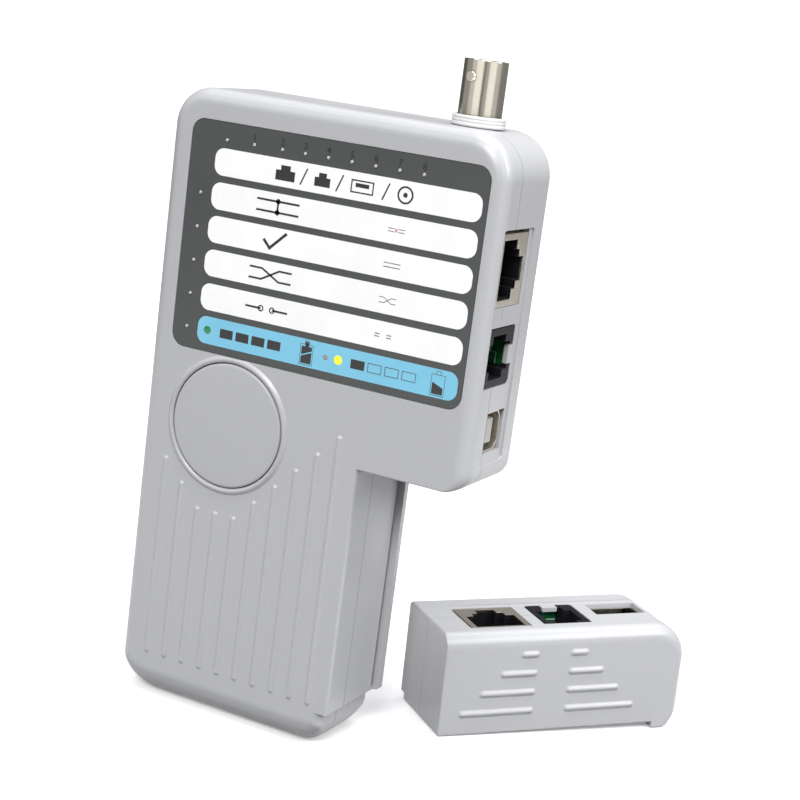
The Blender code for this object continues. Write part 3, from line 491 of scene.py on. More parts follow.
def soft_rib(bm, start, end, put, radius=RIB_R, height=RIB_H):
    """Raised bar with round ends and a bell-shaped section that runs softly into the wall."""
    reach = radius + 0.28
    shrink = [1.0 - 0.115 * k for k in range(9)]
    profile = [(reach * s, height * (0.5 + 0.5 * math.cos(math.pi * s)) - (0.04 if s == 1.0 else 0.0)) for s in shrink]
    loops = []
    for r, level in profile:
        loop = []
        for centre, turn in ((end - radius, 0.0), (start + radius, math.pi)):
            for k in range(11):
                t = turn - math.pi / 2 + math.pi * k / 10
                loop.append(put(centre + r * math.cos(t), r * math.sin(t), level))
        loops.append(loop)
    loft(bm, loops)


# ================================================================ covers of the main unit

MAIN_CORNERS = [
    (LEFT_X, 0.0, 9.0, 14), (FOOT_X, 0.0, 6.5, 12), (FOOT_X, STEP_Z, 0.3, 3), (WALL_X, STEP_Z, 0.4, 3),
    (WALL_X, NOTCH_Z, 0.5, 4), (RIGHT_X, NOTCH_Z, 5.0, 10), (RIGHT_X, TOP_Z, 10.0, 14), (LEFT_X, TOP_Z, 9.0, 14)]
MAIN_FRONT_RADII = [7.5, 2.4, 0.3, 0.8, 0.4, 3.6, 3.6, 3.6]
MAIN_BACK_RADII = [6.5, 3.0, 0.3, 0.8, 0.4, 2.4, 2.4, 2.4]
PORTS = Matrix.Translation((RIGHT_X, FRONT_Y, PORT_TOP_Z)) @ Matrix.Rotation(math.pi / 2, 4, "Y")
JACKS = {"x45": 9.3, "y45": 3.2, "x11": 30.1, "y11": 4.2, "xusb": 49.4, "yusb": 8.5}
RECESS_AREA = ((8.4, 61.3), (3.0, 18.8))


def in_ports(matrix, build):
    bm = bmesh.new()
    build(bm)
    bm.transform(matrix)
    return bm


def port_cuts(matrix, jacks, recess, usb):
    """Cutters for the shallow panel and the three port openings."""
    x45, y45, x11, y11 = jacks["x45"], jacks["y45"], jacks["x11"], jacks["y11"]
    mid = x11 + RJ11_W / 2
    tab_y = y11 + RJ11_H - 1.9

    def panel(bm):
        prism(bm, rounded(*recess, 0.8, 4), "z", -RECESS, 3.0)

    def jack45(bm):
        box(bm, (x45 - 0.75, y45 - 0.15, -6.0), (x45 + RJ45_W + 0.15, y45 + RJ45_H + 0.15, 2.0))

    def jack11(bm):
        right, rear = x11 + RJ11_W + 0.2, y11 + RJ11_H + 0.2
        turns = [math.pi / 2 * k / 6 for k in range(7)]
        pts = [(x11 - 0.2, y11 - 0.2), (right, y11 - 0.2)]
        pts += [(right - 1.0 + math.cos(t), rear - 1.0 + math.sin(t)) for t in turns]
        pts += [(mid + 2.1, rear), (mid + 2.1, tab_y), (mid - 2.1, tab_y), (mid - 2.1, rear)]
        pts += [(x11 - 0.2 + 1.0 - math.sin(t), rear - 1.0 + math.cos(t)) for t in turns]
        prism(bm, pts, "z", -6.0, 2.0)

    def under_tab(bm):
        box(bm, (mid - 2.3, tab_y - 0.3, -6.0), (mid + 2.3, y11 + RJ11_H + 0.2, -1.5))

    def usb_hole(bm):
        box(bm, (usb[0][0], usb[1][0], -6.0), (usb[0][1], usb[1][1], 2.0))

    return [in_ports(matrix, build) for build in (panel, jack45, jack11, under_tab, usb_hole)]


def main_front():
    depths = round_depths(3.6, 7.5)
    obj = solid(cover(MAIN_CORNERS, MAIN_FRONT_RADII, FRONT_Y, PART_Y - SEAM / 2, depths))
    bm = bmesh.new()
    prism(bm, rounded((LABEL_X[0] - 0.12, LABEL_X[1] + 0.12), (LABEL_Z[0] - 0.12, LABEL_Z[1] + 0.12),
                      LABEL_R + 0.12, 12), "y", FRONT_Y - 1, FRONT_Y + LABEL_POCKET)
    combine(obj, bm)
    bm = bmesh.new()
    lathe(bm, "y", BUTTON_C, [(BUTTON_HOLE_R, FRONT_Y - 2), (BUTTON_HOLE_R, FRONT_Y + WALL + 1)], 128)
    combine(obj, bm)
    for cutter in port_cuts(PORTS, JACKS, RECESS_AREA, ((49.3, 58.8), (8.3, 17.3))):
        combine(obj, cutter)
    bm = bmesh.new()
    lathe(bm, "z", (BNC_X, 0.0), [(5.2, TOP_Z - 5), (5.2, TOP_Z + 5)], 64)
    combine(obj, bm)
    bm = bmesh.new()
    box(bm, (WALL_X - 0.5, FRONT_Y + 1.2, NOTCH_Z - 1.1), (WALL_X + 0.55, PART_Y - SEAM / 2, NOTCH_Z + 0.5))
    combine(obj, bm, "UNION")
    soften(obj, 0.14)
    piece(obj, "front_cover", "shell", "main", stands_for=("front_shell",))

    bm = bmesh.new()
    for i, step in enumerate(RIB_TOP_STEPS):
        x = RIB_X0 + RIB_PITCH * i
        soft_rib(bm, RIB_LOW_Z, RIB_FLAT_TOP_Z + RIB_PITCH * step,
                 lambda along, side, level, x=x: (x + side, FRONT_Y - level, along), RIB_R, 0.46)
    quick_piece("grip_ribs", bm, "shell", "main", angle=60)

    bm = bmesh.new()
    width, crest = 1.65, 0.52
    profile = [(BUTTON_HOLE_R, 1.0), (BUTTON_HOLE_R, -0.2)]
    profile += [(BUTTON_HOLE_R + width * k / 10, 0.04 - (crest + 0.04) * math.sin(math.pi * (k + 2) / 12) ** 1.3)
                for k in range(11)][1:]
    profile += [(BUTTON_HOLE_R + 0.6, 1.0)]
    ring(bm, "y", BUTTON_C, [(r, FRONT_Y + d) for r, d in profile], 160)
    obj = solid(bm)
    bm = bmesh.new()
    box(bm, (BUTTON_C[0] - 9, FRONT_Y - 2, LABEL_Z[0] - 0.14), (BUTTON_C[0] + 9, FRONT_Y + 2, LABEL_Z[0] + 3))
    combine(obj, bm)
    piece(obj, "button_bezel", "shell", "main", angle=60)


def main_rear():
    depths = round_depths(2.4, 6.5)
    obj = solid(cover(MAIN_CORNERS, MAIN_BACK_RADII, BACK_Y, PART_Y + SEAM / 2, depths))
    bm = bmesh.new()
    rail = [(WALL_X - 0.6, STEP_Z + 0.2), (WALL_X + 0.7, STEP_Z + 0.2), (WALL_X + 1.2, STEP_Z + 0.4),
            (WALL_X + 1.45, STEP_Z + 0.75), (WALL_X + 1.5, STEP_Z + 1.2), (WALL_X + 1.5, NOTCH_Z + 0.6),
            (WALL_X - 0.6, NOTCH_Z + 0.6)]
    prism(bm, rail, "y", 10.4, BACK_Y - 0.4)
    combine(obj, bm, "UNION")
    bm = bmesh.new()
    for centre in SCREWS:
        lathe(bm, "y", centre, [(4.0, PART_Y + 0.5), (4.0, BACK_Y - WALL + 0.5)], 32)
    for x in (DOOR_X[0] - 1.7, DOOR_X[1] + 0.5):
        box(bm, (x, -3.9, 4.5), (x + 1.2, BACK_Y - 1.0, DOOR_Z[1] + 1.4))
    combine(obj, bm, "UNION")
    bm = bmesh.new()
    for centre in SCREWS:
        lathe(bm, "y", centre, [(1.35, PART_Y - 2), (1.35, 2.0), (2.8, 2.0), (2.8, BACK_Y + 2)], 48)
    box(bm, (WALL_X - 0.8, 9.1, STEP_Z + 1.0), (WALL_X + 0.5, 10.4, NOTCH_Z - 0.5))
    box(bm, (DOOR_X[0] - 0.2, BACK_Y - 4, DOOR_Z[0] - 0.25), (DOOR_X[1] + 0.2, BACK_Y + 2, DOOR_Z[1] + 0.2))
    combine(obj, bm)
    for cutter in port_cuts(PORTS, JACKS, RECESS_AREA, ((49.3, 58.8), (8.3, 17.3))):
        combine(obj, cutter)
    bm = bmesh.new()
    lathe(bm, "z", (BNC_X, 0.0), [(5.2, TOP_Z - 5), (5.2, TOP_Z + 5)], 64)
    combine(obj, bm)
    soften(obj, 0.14)
    piece(obj, "rear_cover", "shell", "main", stands_for=("rear_shell",))


# ================================================================ printed label

INK = 0.02                     # thickness of one print layer


def ink(name, shapes, material, layer=1):
    """Flat printed shapes, as polygons of (x, z), on the film."""
    bm = bmesh.new()
    for points in shapes:
        prism(bm, points, "y", FILM_Y + 0.01, FILM_Y - INK * layer)
    return quick_piece(name, bm, material, "main", angle=20)


def stroke(points, width):
    """Outline of a line drawn through these points with square joints."""
    left, right = [], []
    for i, p in enumerate(points):
        here = Vector(p)
        ahead = (Vector(points[min(i + 1, len(points) - 1)]) - Vector(points[max(i - 1, 0)])).normalized()
        side = Vector((-ahead.y, ahead.x)) * width / 2
        left.append(tuple(here + side))
        right.append(tuple(here - side))
    return left + right[::-1]


def arc(cx, cz, radius, start, end, steps=20):
    return [(cx + radius * math.cos(math.radians(start + (end - start) * k / steps)),
             cz + radius * math.sin(math.radians(start + (end - start) * k / steps))) for k in range(steps + 1)]


BAR_X = (-29.8, 37.8)
BAR_TOPS = [134.7, 126.9, 119.2, 111.4, 103.5]
BAR_H = 6.2
BAR_R = 2.3
BLUE_TOP = 95.8


def frame_strokes(x, z, width, gap=None):
    """Four strokes around a rectangle."""
    (x0, x1), (z0, z1) = x, z
    h = width / 2
    return [[(x0 - h, z0 - h), (x1 + h, z0 - h), (x1 + h, z0 + h), (x0 - h, z0 + h)],
            [(x0 - h, z1 - h), (x1 + h, z1 - h), (x1 + h, z1 + h), (x0 - h, z1 + h)],
            [(x0 - h, z0 + h), (x0 + h, z0 + h), (x0 + h, z1 - h), (x0 - h, z1 - h)],
            [(x1 - h, z0 + h), (x1 + h, z0 + h), (x1 + h, z1 - h), (x1 - h, z1 - h)]]


def label():
    obj = solid(bmesh_film())
    bm = bmesh.new()
    for centre in [(x, LED_TOP_Z) for x in LED_X] + [(LED_LEFT_X, z) for z in LED_ROW_Z]:
        lathe(bm, "y", centre, [(0.55, FILM_Y - 1), (0.55, FILM_Y + 1)], 24)
    combine(obj, bm)
    soften(obj, 0.06)
    piece(obj, "label_film", "label", "main", stands_for=("label_overlay",))

    ink("label_white_bars", [rounded(BAR_X, (top - BAR_H, top), BAR_R) for top in BAR_TOPS], "white_ink")
    ink("label_blue_bar", [rounded(BAR_X, (BLUE_TOP - BAR_H - 0.2, BLUE_TOP), BAR_R)], "blue_ink")
    label_marks()
    label_digits()


def bmesh_film():
    bm = bmesh.new()
    prism(bm, rounded(LABEL_X, LABEL_Z, LABEL_R, 12), "y", FILM_Y + 0.35, FILM_Y)
    return bm


def label_marks():
    """Generic pictograms: sockets on the top bar, wire states on the four rows, batteries on the blue bar."""
    marks = []
    z = BAR_TOPS[0] - BAR_H / 2
    # eight-way and six-way sockets
    for cx, w, h in ((-11.0, 5.0, 3.4), (-1.4, 4.0, 3.0)):
        pts = [(cx - w / 2, z - h / 2), (cx + w / 2, z - h / 2), (cx + w / 2, z + h / 6), (cx + w / 4, z + h / 6),
               (cx + w / 4, z + h / 2), (cx - w / 4, z + h / 2), (cx - w / 4, z + h / 6), (cx - w / 2, z + h / 6)]
        marks.append(pts)
    # flat bus socket
    marks += frame_strokes((6.0, 11.4), (z - 1.3, z + 1.3), 0.32)
    marks.append([(7.0, z - 0.15), (10.4, z - 0.15), (10.4, z + 0.75), (7.0, z + 0.75)])
    # coaxial socket
    marks.append(stroke(arc(19.4, z, 1.75, 0, 359.9, 40), 0.42))
    marks.append(arc(19.4, z, 0.55, 0, 345, 15))
    # slashes between them
    for x in (-6.2, 3.0, 14.6):
        marks.append(stroke([(x - 0.75, z - 1.9), (x + 0.75, z + 1.9)], 0.36))

    rows = [top - BAR_H / 2 for top in BAR_TOPS[1:]]
    cx = -12.0
    line = 0.46
    # shorted: two wires tied together
    z = rows[0]
    marks.append(stroke([(cx - 5.6, z + 1.25), (cx + 5.6, z + 1.25)], line))
    marks.append(stroke([(cx - 5.6, z - 1.25), (cx + 5.6, z - 1.25)], line))
    marks.append(stroke([(cx, z + 1.25), (cx, z - 1.25)], line))
    for dz in (-1.25, 1.25):
        marks.append(arc(cx, z + dz, 0.62, 0, 345, 15))
    # passed: a tick
    z = rows[1]
    marks.append([(cx - 3.0, z - 0.1), (cx - 1.0, z - 2.2), (cx + 3.4, z + 1.95), (cx + 2.9, z + 2.4),
                  (cx - 0.95, z - 1.25), (cx - 2.5, z + 0.35)])
    # crossed: two wires that swap
    z = rows[2]
    for s in (-1, 1):
        marks.append(stroke([(cx - 5.6, z + s * 1.25), (cx - 2.3, z + s * 1.25), (cx + 2.3, z - s * 1.25),
                             (cx + 5.6, z - s * 1.25)], line))
    # open: a wire with a gap between two ends
    z = rows[3]
    marks.append(stroke([(cx - 5.6, z), (cx - 1.5, z)], line))
    marks.append(stroke([(cx + 1.5, z), (cx + 5.6, z)], line))
    for dx in (-1.5, 1.5):
        marks.append(stroke(arc(cx + dx, z, 0.6, 0, 359.9, 24), 0.3))
    ink("label_marks", marks, "black_ink", 2)

    thin = []
    cx = 18.3
    for i, z in enumerate(rows):
        z -= 0.1
        if i == 0:
            thin += [stroke([(cx + a, z + s * 0.33), (cx + b, z + s * 0.33)], 0.16)
                     for a, b in ((-2.1, -0.6), (0.6, 2.1)) for s in (-1, 1)]
        elif i == 1:
            thin += [stroke([(cx - 2.1, z + s * 0.45), (cx + 2.1, z + s * 0.45)], 0.18) for s in (-1, 1)]
        elif i == 2:
            thin += [stroke([(cx - 2.1, z + s * 0.6), (cx - 0.9, z + s * 0.6), (cx + 0.9, z - s * 0.6),
                             (cx + 2.1, z - s * 0.6)], 0.16) for s in (-1, 1)]
        else:
            thin += [stroke([(cx + a, z + s * 0.3), (cx + b, z + s * 0.3)], 0.2)
                     for a, b in ((-2.1, -0.9), (0.9, 2.1)) for s in (-1, 1)]
    ink("label_wire_signs", thin, "grey_ink", 2)
    z = rows[0] - 0.1
    ink("label_short_cross", [stroke([(cx - 0.45, z - 0.45), (cx + 0.45, z + 0.45)], 0.15),
                              stroke([(cx - 0.45, z + 0.45), (cx + 0.45, z - 0.45)], 0.15)], "red_ink", 2)
    batteries()


def batteries():
    """Full and low battery pictograms on the blue bar."""
    solid_marks, thin = [], []
    for cx, full in ((-0.3, True), (33.0, False)):
        low, high, half = 90.2, 94.2, 1.35
        thin += frame_strokes((cx - half - 0.3, cx + half + 0.3), (low - 0.3, high + 0.35), 0.11)
        thin += frame_strokes((cx - 0.55, cx + 0.55), (high + 0.35, high + 1.15), 0.11)
        if full:
            solid_marks.append([(cx - half, low), (cx + half, low), (cx + half, high - 1.3), (cx - half, high - 2.4)])
            solid_marks.append([(cx - half, high - 2.1), (cx + half, high - 1.0), (cx + half, high - 0.1),
                                (cx + 0.45, high - 0.1), (cx + 0.45, high + 0.95), (cx - 0.45, high + 0.95),
                                (cx - 0.45, high - 0.1), (cx - half, high - 0.1)])
        else:
            solid_marks.append([(cx - half, low), (cx + half, low), (cx + half, low + 1.5), (cx - half, low + 2.6)])
    for left, filled in ((-23.6, 4), (11.2, 1)):
        for k in range(4):
            x, z = left + 4.3 * k, 91.55
            if k < filled:
                solid_marks.append([(x, z), (x + 3.5, z), (x + 3.5, z + 2.1), (x, z + 2.1)])
            else:
                thin += frame_strokes((x + 0.08, x + 3.42), (z + 0.08, z + 2.02), 0.16)
    ink("label_battery_fill", solid_marks, "black_ink", 2)
    ink("label_battery_lines", thin, "grey_ink", 2)


def digit(text, centre, height):
    """One digit as a flat mesh, standing in the XZ plane."""
    curve = bpy.data.curves.new("digit", "FONT")
    curve.body = text
    curve.size = height * 1.4
    curve.align_x = "CENTER"
    curve.extrude = INK
    curve.offset = 0.035
    obj = bpy.data.objects.new("digit", curve)
    bpy.context.scene.collection.objects.link(obj)
    graph = bpy.context.evaluated_depsgraph_get()
    mesh = bpy.data.meshes.new_from_object(obj.evaluated_get(graph))
    bpy.data.objects.remove(obj, do_unlink=True)
    bpy.data.curves.remove(curve)
    mesh.transform(Matrix.Translation((centre[0], FILM_Y - INK * 0.4, centre[1])) @ Matrix.Rotation(math.pi / 2, 4, "X"))
    return mesh


def label_digits():
    """Wire numbers above the row of pin lights."""
    bm = bmesh.new()
    for i, x in enumerate(LED_X[1:]):
        mesh = digit(str(i + 1), (x, LED_TOP_Z + 0.95), 1.5)
        bm.from_mesh(mesh)
        bpy.data.meshes.remove(mesh)
    quick_piece("label_numbers", bm, "black_ink", "main", angle=20)


def leds():
    def domes(name, places, radius, material, stands_for, rise=0.12):
        bm = bmesh.new()
        base = FRONT_Y + LABEL_POCKET - 0.02
        for centre in places:
            profile = [(radius, base), (radius, FILM_Y)]
            profile += [(radius * math.cos(t), FILM_Y - rise * math.sin(t)) for t in (0.5, 0.95, 1.3)]
            lathe(bm, "y", centre, profile, 24)
        quick_piece(name, bm, material, "main", stands_for=stands_for, angle=60)

    domes("pin_lights", [(x, LED_TOP_Z) for x in LED_X], 0.4, "lens", ("pin_leds",))
    domes("row_lights", [(LED_LEFT_X, z) for z in LED_ROW_Z], 0.4, "lens", ("row_leds",))
    domes("battery_good_light", [(-27.1, 92.65)], 1.0, "green_led", ("good_led",))
    domes("battery_low_light", [(7.95, 92.65)], 1.1, "yellow_led", ("low_leds",))
    domes("battery_test_light", [(4.7, 92.65)], 0.7, "dim_led", ())


# ================================================================ button, door, screws


def button():
    edge = BUTTON_R + 0.14
    profile = [(BUTTON_R, 2.0), (edge, 1.2), (edge, -0.1), (edge - 0.1, -0.3), (edge - 0.3, -0.42), (edge - 0.7, -0.48),
               (edge - 3.0, -0.55), (edge - 7.0, -0.62), (3.0, -0.66), (0.8, -0.67)]
    bm = bmesh.new()
    lathe(bm, "y", BUTTON_C, [(r, FRONT_Y + d) for r, d in profile], 128)
    quick_piece("button_cap", bm, "button", "button", stands_for=("test_button",), angle=50)


def door():
    inner = BACK_Y - WALL
    nose = [(DOOR_AXIS_Y - 0.9 * math.sin(t), DOOR_AXIS_Z - 0.9 * math.cos(t))
            for t in [math.pi / 2 * k / 8 for k in range(9)]]
    pts = [(BACK_Y, DOOR_Z[1]), (BACK_Y, DOOR_AXIS_Z + 0.5), (BACK_Y - 0.45, DOOR_AXIS_Z - 0.55)] + nose + \
        [(inner - 0.4, DOOR_AXIS_Z + 0.6), (inner, DOOR_AXIS_Z + 1.4), (inner, DOOR_Z[1])]
    bm = bmesh.new()
    prism(bm, pts, "x", *DOOR_X)
    obj = solid(bm)
    bm = bmesh.new()
    lathe(bm, "x", (DOOR_AXIS_Y, DOOR_AXIS_Z), [(0.6, DOOR_X[0] - 1.0), (0.6, DOOR_X[1] + 1.0)], 24)
    combine(obj, bm, "UNION")
    mid = sum(DOOR_X) / 2
    bm = bmesh.new()
    for i in range(6):
        z = DOOR_Z[1] - 10.0 + 1.5 * i
        box(bm, (mid - 6.0, BACK_Y - 0.5, z), (mid + 6.0, BACK_Y + 1, z + 0.7))
    arrow = [(mid - 3.0, DOOR_Z[1] - 12.0), (mid, DOOR_Z[1] - 15.5), (mid + 3.0, DOOR_Z[1] - 12.0)]
    prism(bm, arrow, "y", BACK_Y - 0.4, BACK_Y + 1)
    combine(obj, bm)
    soften(obj, 0.12)
    piece(obj, "battery_lid", "shell", "door", stands_for=("battery_door",))


def screw(name, centre, head_y, length, body, node, matrix=None):
    x, z = centre
    bm = bmesh.new()
    lathe(bm, "y", centre, [(0.4, head_y - length), (1.05, head_y - length + 1.6), (1.05, head_y), (2.3, head_y),
                            (2.4, head_y + 0.1), (2.4, head_y + 0.8), (2.15, head_y + 1.2), (1.6, head_y + 1.5),
                            (0.9, head_y + 1.6)], 40)
    obj = solid(bm)
    for w, h in ((1.3, 0.24), (0.24, 1.3)):
        bm = bmesh.new()
        box(bm, (x - w, head_y + 0.6, z - h), (x + w, head_y + 3, z + h))
        combine(obj, bm)
    soften(obj, 0.05)
    piece(obj, name, "screw", body, matrix, (node,))


# ================================================================ coaxial socket


def bnc():
    axis = (BNC_X, 0.0)
    seat = TOP_Z + GAP
    bm = bmesh.new()
    profile = [(1.2, 141.0), (4.4, 141.0), (4.4, seat), (4.78, seat + 0.1), (4.85, seat + 0.6), (4.85, BNC_TOP_Z - 0.12),
               (4.75, BNC_TOP_Z), (4.1, BNC_TOP_Z),
               (4.0, BNC_TOP_Z - 0.3), (4.0, 152.6), (1.2, 152.6)]
    ring(bm, "z", axis, profile, 128)
    quick_piece("coax_barrel", bm, "nickel", "main", stands_for=("bnc_barrel",), angle=50)

    turn = Matrix.Translation((BNC_X, 0, 0)) @ Matrix.Rotation(math.radians(-10.0), 4, "Z")
    bm = bmesh.new()
    for side in (-1, 1):
        profile = [(1.05, 4.4), (1.05, 5.52), (0.97, 5.6)]
        lathe(bm, "y", (0.0, 158.4), [(r, side * along) for r, along in profile], 32)
    bm.transform(turn)
    quick_piece("coax_lugs", bm, "nickel", "main", angle=50)

    bm = bmesh.new()
    ring(bm, "z", axis, [(0.95, 152.9), (2.4, 152.9), (2.4, 160.2), (2.2, 160.6), (1.1, 160.6), (0.95, 160.3)], 48)
    quick_piece("coax_dielectric", bm, "white", "main", stands_for=("bnc_insulator",), angle=50)
    bm = bmesh.new()
    lathe(bm, "z", axis, [(0.7, 134.0), (0.7, 159.9), (0.6, 160.1), (0.35, 160.2)], 32)
    quick_piece("coax_pin", bm, "contact", "main", stands_for=("bnc_centre_contact",), angle=50)

    bm = bmesh.new()
    profile = [(5.05, 0.0), (5.8, -0.18), (6.0, 0.0), (6.05, 0.25), (6.0, 0.5), (5.9, 0.62), (5.86, 0.72), (5.9, 0.82),
               (5.98, 0.95), (5.98, 1.2), (5.9, 1.32), (5.84, 1.42), (5.88, 1.52), (5.94, 1.65), (5.92, 1.9),
               (5.75, 2.12), (5.5, 2.2), (5.1, 2.15)]
    ring(bm, "z", axis, [(r, seat + z) for r, z in profile], 96)
    quick_piece("coax_collar", bm, "white", "main", stands_for=("bnc_collar",), angle=60)


# ================================================================ jacks


def jack_window(x0, y0, grow=0.0):
    """Eight-way plug opening with its latch steps towards +y."""
    mid = x0 + RJ45_W / 2
    low = y0 + 1.35 - grow
    steps = [(6.6 + grow, low), (6.6 + grow, low + 7.4 + grow), (4.4 + grow, low + 7.4 + grow),
             (4.4 + grow, low + 9.1 + grow), (2.7 + grow, low + 9.1 + grow), (2.7 + grow, low + 11.2 + grow)]
    return [(mid + dx, y) for dx, y in steps] + [(mid - dx, y) for dx, y in reversed(steps)]


def spring_wires(bm, mid, y_low, base, count, reach):
    """Bent contact wires side by side."""
    for i in range(count):
        x = mid + (i - (count - 1) / 2) * 1.02
        path = [(y_low + 0.15, base + 0.2), (y_low + 0.3, base + 2.0), (y_low + 1.55, base + reach - 1.0),
                (y_low + 1.75, base + reach - 0.3), (y_low + 1.6, base + reach)]
        pts = stroke(path, 0.36)
        prism(bm, pts, "x", x - 0.19, x + 0.19)


def eight_way(name, matrix, body, x0, y0, prefix):
    low = JACK_TOP - RJ45_D
    sheet = 0.4
    bm = bmesh.new()
    prism(bm, rounded((x0, x0 + RJ45_W), (y0, y0 + RJ45_H), 0.45, 4), "z", low, JACK_TOP)
    obj = solid(bm)
    bm = bmesh.new()
    box(bm, (x0 + sheet, y0 + sheet, low - 1), (x0 + RJ45_W - sheet, y0 + RJ45_H - sheet, JACK_TOP - sheet))
    combine(obj, bm)
    bm = bmesh.new()
    prism(bm, jack_window(x0, y0), "z", JACK_TOP - 2, JACK_TOP + 1)
    combine(obj, bm)
    soften(obj, 0.07)
    piece(obj, name + "_shield", "tinned", body, matrix, (prefix + "rj45_shield",))

    edge = sheet + GAP
    bm = bmesh.new()
    box(bm, (x0 + edge, y0 + edge, low), (x0 + RJ45_W - edge, y0 + RJ45_H - edge, JACK_TOP - edge))
    obj = solid(bm)
    bm = bmesh.new()
    prism(bm, jack_window(x0, y0, -0.15), "z", low + 1.5, JACK_TOP + 1)
    combine(obj, bm)
    mid = x0 + RJ45_W / 2
    bm = bmesh.new()
    for i in range(7):
        x = mid + (i - 3) * 1.02
        box(bm, (x - 0.13, y0 + 1.5, low + 2.0), (x + 0.13, y0 + 2.6, JACK_TOP - 1.3))
    combine(obj, bm, "UNION")
    soften(obj, 0.06)
    piece(obj, name + "_insert", "jack_black", body, matrix, (prefix + "rj45_insert",))

    bm = bmesh.new()
    spring_wires(bm, mid, y0 + 1.95, low + 1.9, 8, 8.4)
    quick_piece(name + "_wires", bm, "contact", body, matrix, (prefix + "rj45_contacts",), angle=40)


def six_way(name, matrix, body, x0, y0, prefix):
    low = JACK_TOP - RJ11_D
    mid = x0 + RJ11_W / 2
    bm = bmesh.new()
    prism(bm, rounded((x0, x0 + RJ11_W), (y0, y0 + RJ11_H), 0.9, 5), "z", low, JACK_TOP)
    obj = solid(bm)
    bm = bmesh.new()
    pts = [(mid + 4.9, y0 + 1.6), (mid + 4.9, y0 + 8.4), (mid + 3.1, y0 + 8.4), (mid + 3.1, y0 + 10.8),
           (mid - 3.1, y0 + 10.8), (mid - 3.1, y0 + 8.4), (mid - 4.9, y0 + 8.4), (mid - 4.9, y0 + 1.6)]
    prism(bm, pts, "z", low + 2.0, JACK_TOP + 1)
    combine(obj, bm)
    bm = bmesh.new()
    box(bm, (mid - 2.9, y0 + 10.0, low + 3.0), (mid + 2.9, y0 + RJ11_H + 1, -1.9))
    combine(obj, bm)
    bm = bmesh.new()
    box(bm, (mid - 2.4, y0 + RJ11_H - 3.5, -WALL - GAP - 0.1), (mid + 2.4, y0 + RJ11_H + 1, 1))
    combine(obj, bm)
    bm = bmesh.new()
    box(bm, (mid - 3.0, y0 - 1, -6.0), (mid + 3.0, y0 + 2.0, 1))
    combine(obj, bm)
    soften(obj, 0.1)
    piece(obj, name + "_frame", "jack_black", body, matrix, (prefix + "rj11_housing",))

    bm = bmesh.new()
    spring_wires(bm, mid, y0 + 1.75, low + 2.35, 4, 7.0)
    quick_piece(name + "_wires", bm, "contact", body, matrix, (prefix + "rj11_contacts",), angle=40)


def board(name, matrix, body, x, front, z, mid, node):
    """Port board with a silk-screen line that shows through the six-way jack."""
    bm = bmesh.new()
    box(bm, (x[0], front, z[0]), (x[1], front + 1.6, z[1]))
    quick_piece(name, bm, "board", body, matrix, (node,), soft=0.08)
    marks = bmesh.new()
    path = [(mid - 3.4, z[1] - 3.6), (mid + 0.6, z[1] - 3.6), (mid + 0.6, z[1] - 2.2), (mid + 3.2, z[1] - 2.2)]
    prism(marks, stroke(path, 0.22), "y", front + 0.01, front - 0.02)
    quick_piece(name + "_silk", marks, "white_ink", body, matrix, angle=20)


def usb_square(matrix):
    x0, y0 = JACKS["xusb"], JACKS["yusb"]
    top = JACK_TOP - 0.6
    low = top - 11.0
    w, h, bevel, s = 9.3, 8.6, 1.6, 0.4
    outer = [(x0, y0), (x0 + w, y0), (x0 + w, y0 + h - bevel), (x0 + w - bevel, y0 + h), (x0 + bevel, y0 + h),
             (x0, y0 + h - bevel)]
    inner = [(x0 + s, y0 + s), (x0 + w - s, y0 + s), (x0 + w - s, y0 + h - bevel - 0.2),
             (x0 + w - bevel - 0.2, y0 + h - s), (x0 + bevel + 0.2, y0 + h - s), (x0 + s, y0 + h - bevel - 0.2)]
    bm = bmesh.new()
    prism(bm, outer, "z", low, top)
    obj = solid(bm)
    bm = bmesh.new()
    prism(bm, inner, "z", low + 0.5, top + 1)
    combine(obj, bm)
    soften(obj, 0.08)
    piece(obj, "usb_square_shell", "tinned", "main", matrix, ("usb_b_shell",))
    bm = bmesh.new()
    base = low + 0.5 + GAP
    box(bm, (x0 + 0.8, y0 + 0.8, base), (x0 + w - 0.8, y0 + h - 2.3, base + 1.6))
    box(bm, (x0 + w / 2 - 2.8, y0 + 2.5, base + 1.0), (x0 + w / 2 + 2.8, y0 + 5.7, top - 0.4))
    quick_piece("usb_square_block", bm, "block", "main", matrix, ("usb_b_tongue",), soft=0.15)
    bm = bmesh.new()
    for side, y in ((-1, y0 + 2.44), (1, y0 + 5.7)):
        for x in (x0 + w / 2 - 1.25, x0 + w / 2 + 1.25):
            box(bm, (x - 0.5, y, base + 1.8), (x + 0.5, y + 0.06, top - 1.2))
    quick_piece("usb_square_wires", bm, "contact", "main", matrix)


# ================================================================ remote unit

REMOTE_CORNERS = [
    (0.0, 0.0, 0.6, 4), (HOOK_X, 0.0, 0.2, 2), (HOOK_X, -HOOK_DROP, 0.4, 3), (REMOTE_LEN, -HOOK_DROP, 5.0, 10),
    (REMOTE_LEN, REMOTE_THICK, 9.0, 14), (0.0, REMOTE_THICK, 0.8, 4)]
REMOTE_FRONT_RADII = [0.5, 0.3, 0.5, 3.07, 3.6, 0.5]
REMOTE_BACK_RADII = [0.5, 0.3, 0.5, 2.05, 1.2, 0.5]
REMOTE_JACKS = {"x45": 9.1, "y45": 5.3, "x11": 29.0, "y11": 6.7}


def remote_matrix():
    tilt = math.atan2(HOOK_DROP, HOOK_X)
    turn = Matrix.Rotation(math.radians(REMOTE_YAW), 4, "Z")
    centre = turn @ Vector((REMOTE_LEN / 2, DEPTH / 2, 0))
    return Matrix.Translation((REMOTE_PLACE[0] - centre.x, REMOTE_PLACE[1] - centre.y, 0)) @ turn @ \
        Matrix.Rotation(-tilt, 4, "Y")


